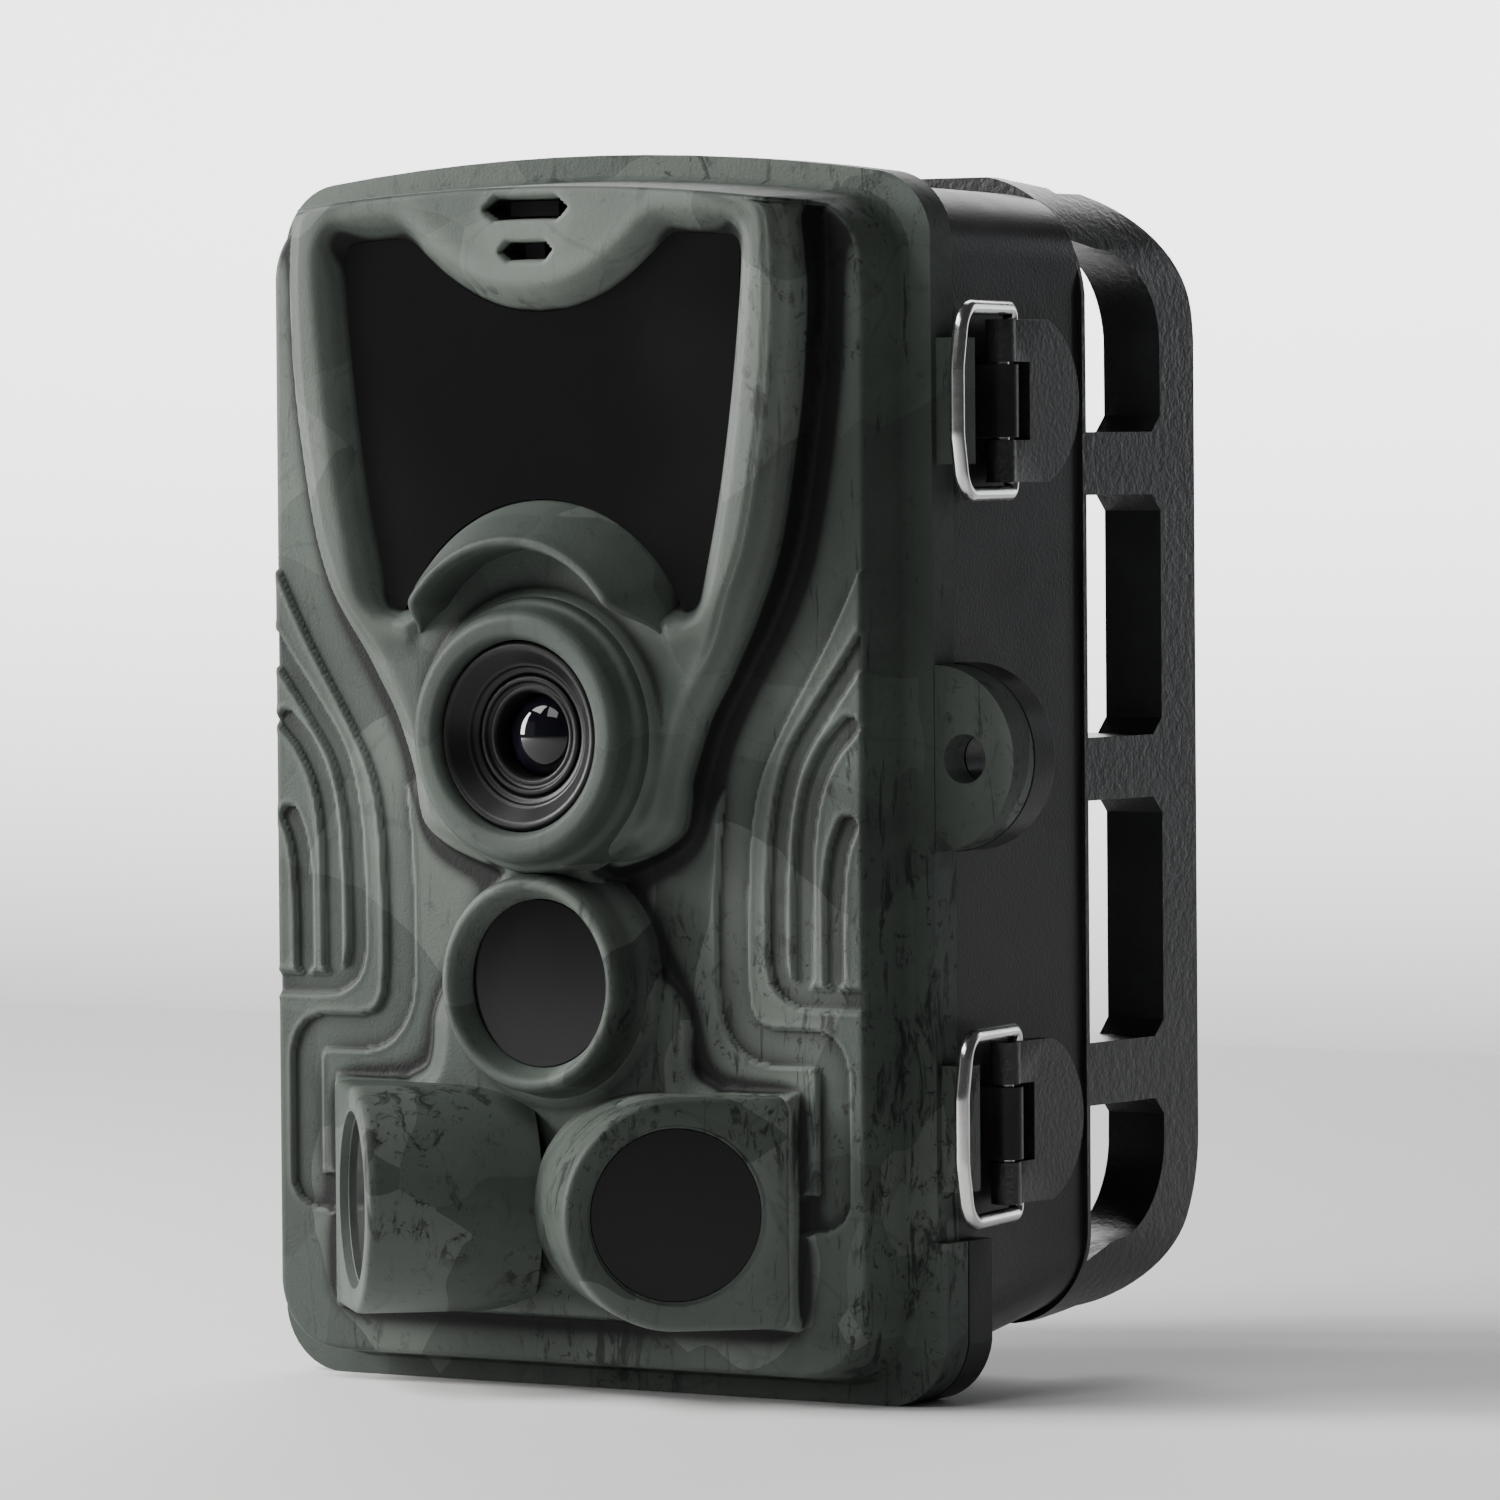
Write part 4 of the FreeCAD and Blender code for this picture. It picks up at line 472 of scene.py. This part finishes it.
BOSS_LOOPS = (
    # forward of the ring's front, growth of the outline, round bore's radius or none
    (-21.0, 0.0, 0), (-1.3, 0.0, 0), (-0.45, -0.12, 0), (-0.1, -0.45, 0), (0.0, -0.9, 0),
    (-0.02, 0.0, 11.0), (-0.14, 0.0, 10.65), (-1.15, 0.0, 10.45), (-1.25, 0.0, 10.2), (-3.4, 0.0, 10.12))
for side_name, side in (("left", -1), ("right", 1)):
    boss_mesh = bmesh.new()
    bmesh.ops.create_circle(boss_mesh, segments=144, radius=1.0, cap_ends=False)
    around_layer = boss_mesh.verts.layers.float.new("around")
    for vertex in boss_mesh.verts:
        vertex[around_layer] = math.atan2(vertex.co.y, vertex.co.x)

    def boss_move(forward, growth, bore):
        """Place a vertex on one of the boss's loops."""
        def move(vertex):
            turn = vertex[around_layer]
            reach = bore or boss_reach(turn, EYE_RING, 1.6) + growth
            vertex.co = (side * reach * math.cos(turn), -forward, reach * math.sin(turn))
        return move

    for vertex in boss_mesh.verts:
        boss_move(*BOSS_LOOPS[0])(vertex)
    stack(boss_mesh, boss_mesh.edges[:], [boss_move(*loop) for loop in BOSS_LOOPS[1:]])
    face_out(boss_mesh)
    bmesh.ops.rotate(boss_mesh, matrix=Matrix.Rotation(math.radians(45 * side), 3, "Z"), cent=(0, 0, 0),
                     verts=boss_mesh.verts)
    bmesh.ops.translate(boss_mesh, vec=(side * EYE_X, -EYE_FRONT, EYE_Z), verts=boss_mesh.verts)
    cover_pieces.append(mesh_piece(f"cover_{side_name}_boss", boss_mesh, 40))


class Signal:
    """One output socket of a finish, with arithmetic that adds Math nodes."""

    def __init__(self, finish, socket):
        self.finish = finish
        self.socket = socket

    def maths(self, operation, *values):
        return self.finish.node("ShaderNodeMath", {"operation": operation}, *values)

    def __add__(self, other):
        return self.maths("ADD", self, other)

    def __sub__(self, other):
        return self.maths("SUBTRACT", self, other)

    def __rsub__(self, other):
        return self.maths("SUBTRACT", other, self)

    def __mul__(self, other):
        return self.maths("MULTIPLY", self, other)

    def __abs__(self):
        return self.maths("ABSOLUTE", self)

    __radd__ = __add__
    __rmul__ = __mul__

    def step(self, low, high):
        """0 below low, 1 above high, smooth between."""
        smooth = {"interpolation_type": "SMOOTHSTEP"}
        return self.finish.node("ShaderNodeMapRange", smooth, self, low, high, 0.0, 1.0)


class Finish:
    """A material on one Principled shader."""

    def __init__(self, name, colour, roughness, **constants):
        self.material = bpy.data.materials.new(name)
        self.material.use_nodes = True
        self.tree = self.material.node_tree
        self.shader = self.tree.nodes["Principled BSDF"]
        self.set("Base Color", (*colour, 1.0))
        self.set("Roughness", roughness)
        for word, value in constants.items():
            self.set({"metallic": "Metallic", "coat": "Coat Weight",
                      "specular": "Specular IOR Level"}[word], value)
        self.place = self.node("ShaderNodeTexCoord", {}, output="Object")

    def node(self, kind, settings, *values, output=None):
        """Add a node, feed its inputs in order and return its first or named output."""
        made = self.tree.nodes.new(kind)
        for word, value in settings.items():
            setattr(made, word, value)
        for socket, value in zip([socket for socket in made.inputs if socket.enabled], values):
            if value is not None:
                self.join(socket, value)
        outputs = [socket for socket in made.outputs if socket.enabled]
        return Signal(self, next(socket for socket in outputs if output in (None, socket.name)))

    def join(self, socket, value):
        if isinstance(value, Signal):
            self.tree.links.new(value.socket, socket)
        else:
            socket.default_value = value

    def set(self, word, value):
        self.join(self.shader.inputs[word], value)

    def axis(self, which):
        """One object coordinate, in metres."""
        return self.node("ShaderNodeSeparateXYZ", {}, self.place, output="XYZ"[which])

    def noise(self, scale, detail=3.0, rough=0.55, bend=0.0, stretch=(1, 1, 1), turn=(0, 0, 0)):
        place = self.place
        if stretch != (1, 1, 1) or turn != (0, 0, 0):
            place = self.node("ShaderNodeMapping", {}, place, (0, 0, 0), turn, stretch)
        return self.node("ShaderNodeTexNoise", {}, place, scale, detail, rough, 2.0, bend)

    def blend(self, share, first, second):
        """A colour between two others."""
        made = self.tree.nodes.new("ShaderNodeMix")
        made.data_type = "RGBA"
        self.join(made.inputs[0], share)
        for socket, value in ((made.inputs[6], first), (made.inputs[7], second)):
            self.join(socket, value if isinstance(value, Signal) else (*value, 1.0))
        return Signal(self, made.outputs[2])

    def bump(self, height, strength, distance):
        self.set("Normal", self.node("ShaderNodeBump", {}, strength, distance, None, height))


def bark_print_and_painted_light():
    """Grey-green moulding with a bark print: pale shards, dark flecks and fine veins, with shade painted into
    the relief's hollows and highlights painted onto its crests.
    """
    made = Finish("bark_print_and_painted_light", (0.1, 0.12, 0.105), 0.5, specular=0.12)
    blotch = made.noise(26.0, 5.0, 0.6, 0.6)
    warp = made.node("ShaderNodeTexNoise", {}, made.place, 30.0, 2.0, 0.5, 2.0, 0.0, output="Color")
    spread = made.node("ShaderNodeVectorMath", {"operation": "SCALE"}, warp)
    spread.socket.node.inputs["Scale"].default_value = 0.03
    where = made.node("ShaderNodeVectorMath", {"operation": "ADD"}, made.place, spread)
    cells = made.node("ShaderNodeTexVoronoi", {}, where, 46.0, output="Color")
    shard = made.node("ShaderNodeSeparateXYZ", {}, cells, output="X")
    veins = made.node("ShaderNodeTexVoronoi", {"feature": "DISTANCE_TO_EDGE"}, where, 62.0, output="Distance")
    bark = made.noise(1.0, 7.0, 0.68, 1.4, (300, 300, 84), (0.35, 0.55, 0.0))
    twigs = made.noise(1.0, 5.0, 0.7, 0.8, (520, 520, 70), (0.0, 0.85, 0.3))
    zone = made.noise(1.0, 3.0, 0.55, 0.3, (26, 26, 19), (0.0, 0.4, 0.2))
    fine = made.noise(560.0, 4.0, 0.72, 0.6)
    colour = made.blend(blotch.step(0.38, 0.64), (0.046, 0.056, 0.049), (0.066, 0.079, 0.069))
    colour = made.blend(shard.step(0.62, 0.64) * 0.30, colour, (0.140, 0.152, 0.140))
    colour = made.blend((1 - shard.step(0.26, 0.28)) * 0.34, colour, (0.026, 0.030, 0.027))
    colour = made.blend((1 - veins.step(0.0, 0.03)) * blotch.step(0.45, 0.6) * 0.25, colour,
                        (0.024, 0.028, 0.025))
    reach = made.axis(0).step(-0.005, 0.03) * 0.035
    mask = (zone + reach).step(0.54, 0.61)
    colour = made.blend(bark.step(0.52, 0.62) * mask * 0.8, colour, (0.009, 0.010, 0.0095))
    colour = made.blend(twigs.step(0.60, 0.66) * (0.25 + made.axis(0).step(0.012, 0.03) * 0.45), colour,
                        (0.012, 0.014, 0.013))
    colour = made.blend(fine.step(0.58, 0.67) * (0.25 + mask * 0.55), colour, (0.011, 0.013, 0.012))
    # Painted shade: the colour turns near-black where the face lies below its blurred copy, in grooves and
    # hollows.
    hollow = made.node("ShaderNodeAttribute", {"attribute_name": "hollow"}, output="Fac")
    colour = made.blend(hollow.step(0.02, 0.40) * 0.94, colour, (0.004, 0.0045, 0.0042))
    # Painted highlight: the colour turns paler where the face stands above its blurred copy, on crests.
    colour = made.blend((hollow * -1.0).step(0.04, 0.5) * 0.24, colour, (0.16, 0.175, 0.16))
    made.set("Base Color", colour)
    made.set("Roughness", 0.44 + blotch * 0.12)
    made.bump(made.noise(2600.0, 2.0, 0.6), 0.14, 0.0004)
    return made


def finish_pieces(pieces, body, finish):
    """Hang finished pieces on a body and material."""
    for piece in pieces:
        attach(piece, body)
        piece.data.materials.clear()
        piece.data.materials.append(finish.material)


finish_pieces(cover_pieces, "door", bark_print_and_painted_light())

# ------------------------------------------------------------ lens
# A black anodised barrel with fine steps, a screwed retaining ring and a coated front
# element that bulges a little.
barrel = spun("lens_barrel_turned", rounded_profile([
    (11.3, 22.4), (11.3, 36.4), (10.9, 36.9), (10.3, 36.8), (8.6, 35.1), (8.3, 35.0), (8.1, 34.6),
    (7.45, 34.4), (7.3, 33.9), (5.2, 33.4), (5.1, 30.0)], 0.25), (0, 0, LENS_Z), steps=128)
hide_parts("lens_barrel")
retainer = spun("lens_retainer_turned", rounded_profile([
    (7.15, 33.4), (7.15, 34.3), (6.9, 34.5), (6.5, 34.5), (6.35, 34.1), (6.0, 33.9), (5.8, 34.05),
    (5.45, 34.05), (5.2, 33.7), (5.05, 33.0), (5.0, 31.5)], 0.15), (0, 0, LENS_Z), steps=128)
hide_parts("lens_retainer")


def moulded(name, colour, roughness, grain=2200.0, depth=0.12, drift=0.25, **constants):
    """Moulded plastic: fine grain, soft patches of gloss and faint colour drift."""
    made = Finish(name, colour, roughness, **constants)
    patches = made.noise(45.0, 4.0, 0.6)
    made.set("Roughness", patches.step(0.3, 0.75) * 0.14 + (roughness - 0.07))
    lighter = tuple(min(1.0, part * (1 + drift) + 0.003) for part in colour)
    made.set("Base Color", made.blend(patches.step(0.35, 0.7), colour, lighter))
    made.bump(made.noise(grain, 2.0, 0.6), depth, 0.0004)
    return made


finish_pieces([barrel, retainer], "door",
              moulded("black_anodising", (0.004, 0.004, 0.0045), 0.40, 3400.0, 0.05, 0.3, specular=0.22))
element = spun("lens_front_element", [
    (0.0, 33.75), (1.2, 33.66), (2.3, 33.4), (3.3, 32.98), (4.1, 32.45), (4.7, 31.9), (5.0, 31.4),
    (5.0, 29.6)], (0, 0, LENS_Z), steps=96, sharp=60)
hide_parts("lens_glass")
coated = Finish("coated_glass", (0.004, 0.004, 0.006), 0.04, specular=0.4)
tint = coated.noise(160.0, 1.0, 0.5)
coated.set("Base Color", coated.blend(tint.step(0.4, 0.65), (0.003, 0.003, 0.005), (0.010, 0.007, 0.016)))
finish_pieces([element], "door", coated)

# ------------------------------------------------------------ smoked windows
# Tinted acrylic panes, glued in from behind: one over the infrared lights, three domed
# discs over the motion sensors, and the slots of the status light.
smoked = Finish("smoked_acrylic", (0.0045, 0.0045, 0.0048), 0.07, specular=0.18)
sheen = smoked.noise(22.0, 2.0, 0.5)
smoked.set("Base Color", smoked.blend(sheen.step(0.4, 0.6), (0.0040, 0.0040, 0.0044),
                                      (0.0065, 0.0065, 0.0068)))
smoked.set("Roughness", 0.06 + smoked.noise(90.0, 3.0, 0.6) * 0.05)


def plain(nodes, finish):
    """CAD nodes shown as they are, in one finish."""
    for node in nodes:
        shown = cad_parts[node]
        shown.data.materials.clear()
        shown.data.materials.append(finish.material)


plain(["ir_window", "pir_window_center", "pir_window_left", "pir_window_right", "status_windows"], smoked)

# ------------------------------------------------------------ rear shell
# Black half of the case, injection-moulded in plastic, with spark-eroded sides and rounded
# edges. It carries the hinges, the latches, the battery bay and the bracket.
shell = reworked("rear_shell", "shell_moulding", 0.5, segments=3)
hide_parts("rear_shell")
shell_black = moulded("shell_black", (0.014, 0.014, 0.015), 0.36, 2400.0, 0.10, 0.35, specular=0.2)
finish_pieces([shell], "case", shell_black)

# ------------------------------------------------------------ tree bracket
# A dark grey leather-grained frame screwed to the back: a bent bar down each side with
# webs across to its back plate, and toothed cheeks that grip the bark.
bracket = reworked("tree_bracket", "bracket_moulding", 2.2, segments=4)
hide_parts("tree_bracket")
leather = Finish("bracket_grey", (0.030, 0.031, 0.034), 0.42, specular=0.5)
pebbles = leather.noise(900.0, 3.0, 0.65)
leather.set("Base Color", leather.blend(leather.noise(60.0, 3.0, 0.5).step(0.4, 0.65), (0.014, 0.0145, 0.016),
                                        (0.022, 0.023, 0.025)))
leather.set("Roughness", 0.26 + pebbles * 0.16)
leather.bump(pebbles, 0.22, 0.0006)
finish_pieces([bracket], "case", leather)

# ------------------------------------------------------------ steel and brass hardware
# Plated steel screws, pins, springs and sockets, turned or pressed, and a turned brass
# insert moulded into the foot for the tripod screw.
def brushed(name, colour, roughness):
    """Drawn or turned metal with faint scratches along it."""
    made = Finish(name, colour, roughness, metallic=1.0)
    marks = made.noise(1.0, 4.0, 0.7, 0.0, (300, 300, 2400))
    made.set("Roughness", (roughness - 0.06) + marks * 0.14)
    dark = tuple(part * 0.82 for part in colour)
    made.set("Base Color", made.blend(made.noise(120.0, 3.0, 0.5).step(0.35, 0.7), dark, colour))
    return made


steel = brushed("plated_steel", (0.56, 0.56, 0.57), 0.28)
plain(["bracket_screws", "panel_screws", "contact_springs", "contact_plates", "hinge_pins", "latch_pins",
       "card_slot", "usb_socket"], steel)
plain(["tripod_insert"], brushed("turned_brass", (0.60, 0.43, 0.20), 0.34))

# ------------------------------------------------------------ draw latches
# Textured black levers pinned to the shell, each with a bent wire bail that pulls the
# cover shut over its catch block.
latch_black = moulded("latch_black", (0.016, 0.016, 0.017), 0.40, 1500.0, 0.22, 0.3)
wire_steel = brushed("wire_steel", (0.72, 0.72, 0.71), 0.20)
for name in ("upper", "lower"):
    lever = reworked(f"{name}_latch_lever", f"{name}_lever_moulding", 0.3, segments=3)
    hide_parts(f"{name}_latch_lever")
    finish_pieces([lever], f"{name}_latch_lever", latch_black)
    bail = reworked(f"{name}_latch_bail", f"{name}_bail_wire", 0, flat=0.1, sharp=50)
    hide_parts(f"{name}_latch_bail")
    finish_pieces([bail], f"{name}_latch_bail", wire_steel)

# ------------------------------------------------------------ power inlet, gasket and buttons
# Soft black rubber, moulded: the inlet's cover on its pin line, the seal pressed into the
# cover's groove and the caps over the menu switches. The jack and speaker are hard plastic.
rubber = moulded("soft_rubber", (0.018, 0.018, 0.019), 0.62, 1300.0, 0.10, 0.2)
flap = reworked("port_cover", "port_cover_moulding", 0.35, segments=3)
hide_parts("port_cover")
finish_pieces([flap], "port_cover", rubber)
for name in ("up", "down", "left", "right", "ok", "menu"):
    cap = reworked(f"{name}_button", f"{name}_button_cap", 0.4, segments=3)
    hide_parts(f"{name}_button")
    finish_pieces([cap], f"{name}_button", rubber)
plain(["door_gasket"], rubber)
plain(["dc_jack", "speaker", "key_switches"], moulded("jack_black", (0.013, 0.013, 0.014), 0.38))

# ------------------------------------------------------------ inner panel
# Fine-textured moulded plastic panel, screwed to four posts inside the door, with the
# screen behind its clear window and the sliding mode switch.
inner = reworked("inner_panel", "inner_panel_moulding", 0.25)
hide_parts("inner_panel")
finish_pieces([inner], "door",
              moulded("panel_black", (0.022, 0.022, 0.024), 0.50, 1500.0, 0.2))
screen = Finish("screen", (0.012, 0.014, 0.018), 0.10, coat=0.6)
screen.set("Base Color", screen.blend(screen.noise(30.0, 2.0, 0.5), (0.010, 0.012, 0.016),
                                      (0.018, 0.021, 0.027)))
plain(["lcd_module", "lcd_window"], screen)
tray_grey = moulded("tray_grey", (0.035, 0.036, 0.038), 0.48, 1700.0, 0.15)
knob = reworked("mode_switch_knob", "mode_knob_moulding", 0.25)
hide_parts("mode_switch_knob")
finish_pieces([knob], "mode_switch_knob", tray_grey)
plain(["mode_switch_housing"], tray_grey)

# ------------------------------------------------------------ battery bay
# Ribbed grey plastic tray for eight AA cells, moulded and set into the rear shell. Each
# cell wears a printed plastic sleeve.
tray = reworked("battery_tray", "battery_tray_moulding", 0.3)
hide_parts("battery_tray")
finish_pieces([tray], "case", tray_grey)
sleeve = Finish("cell_sleeve", (0.02, 0.05, 0.03), 0.30, coat=0.4)
band = abs(sleeve.axis(2) - 0.045).step(0.0, 0.002)
sleeve.set("Base Color", sleeve.blend(band, (0.45, 0.42, 0.10), (0.018, 0.045, 0.028)))
plain(["aa_cells"], sleeve)

# ------------------------------------------------------------ boards and sensors
# Solder-masked fibreglass boards held inside the case, infrared emitters cast in clear
# resin and motion sensors in metal cans.
mask = Finish("solder_mask", (0.008, 0.045, 0.020), 0.34)
tracks = mask.noise(700.0, 2.0, 0.5)
mask.set("Base Color", mask.blend(tracks.step(0.48, 0.54), (0.006, 0.035, 0.016), (0.012, 0.065, 0.030)))
plain(["main_board", "ir_led_board", "sensor_board"], mask)
resin = Finish("led_resin", (0.20, 0.20, 0.24), 0.12, coat=0.5)
resin.set("Roughness", 0.08 + resin.noise(400.0, 2.0, 0.5) * 0.1)
plain(["ir_leds"], resin)
plain(["pir_sensors"], brushed("sensor_can", (0.50, 0.48, 0.43), 0.36))
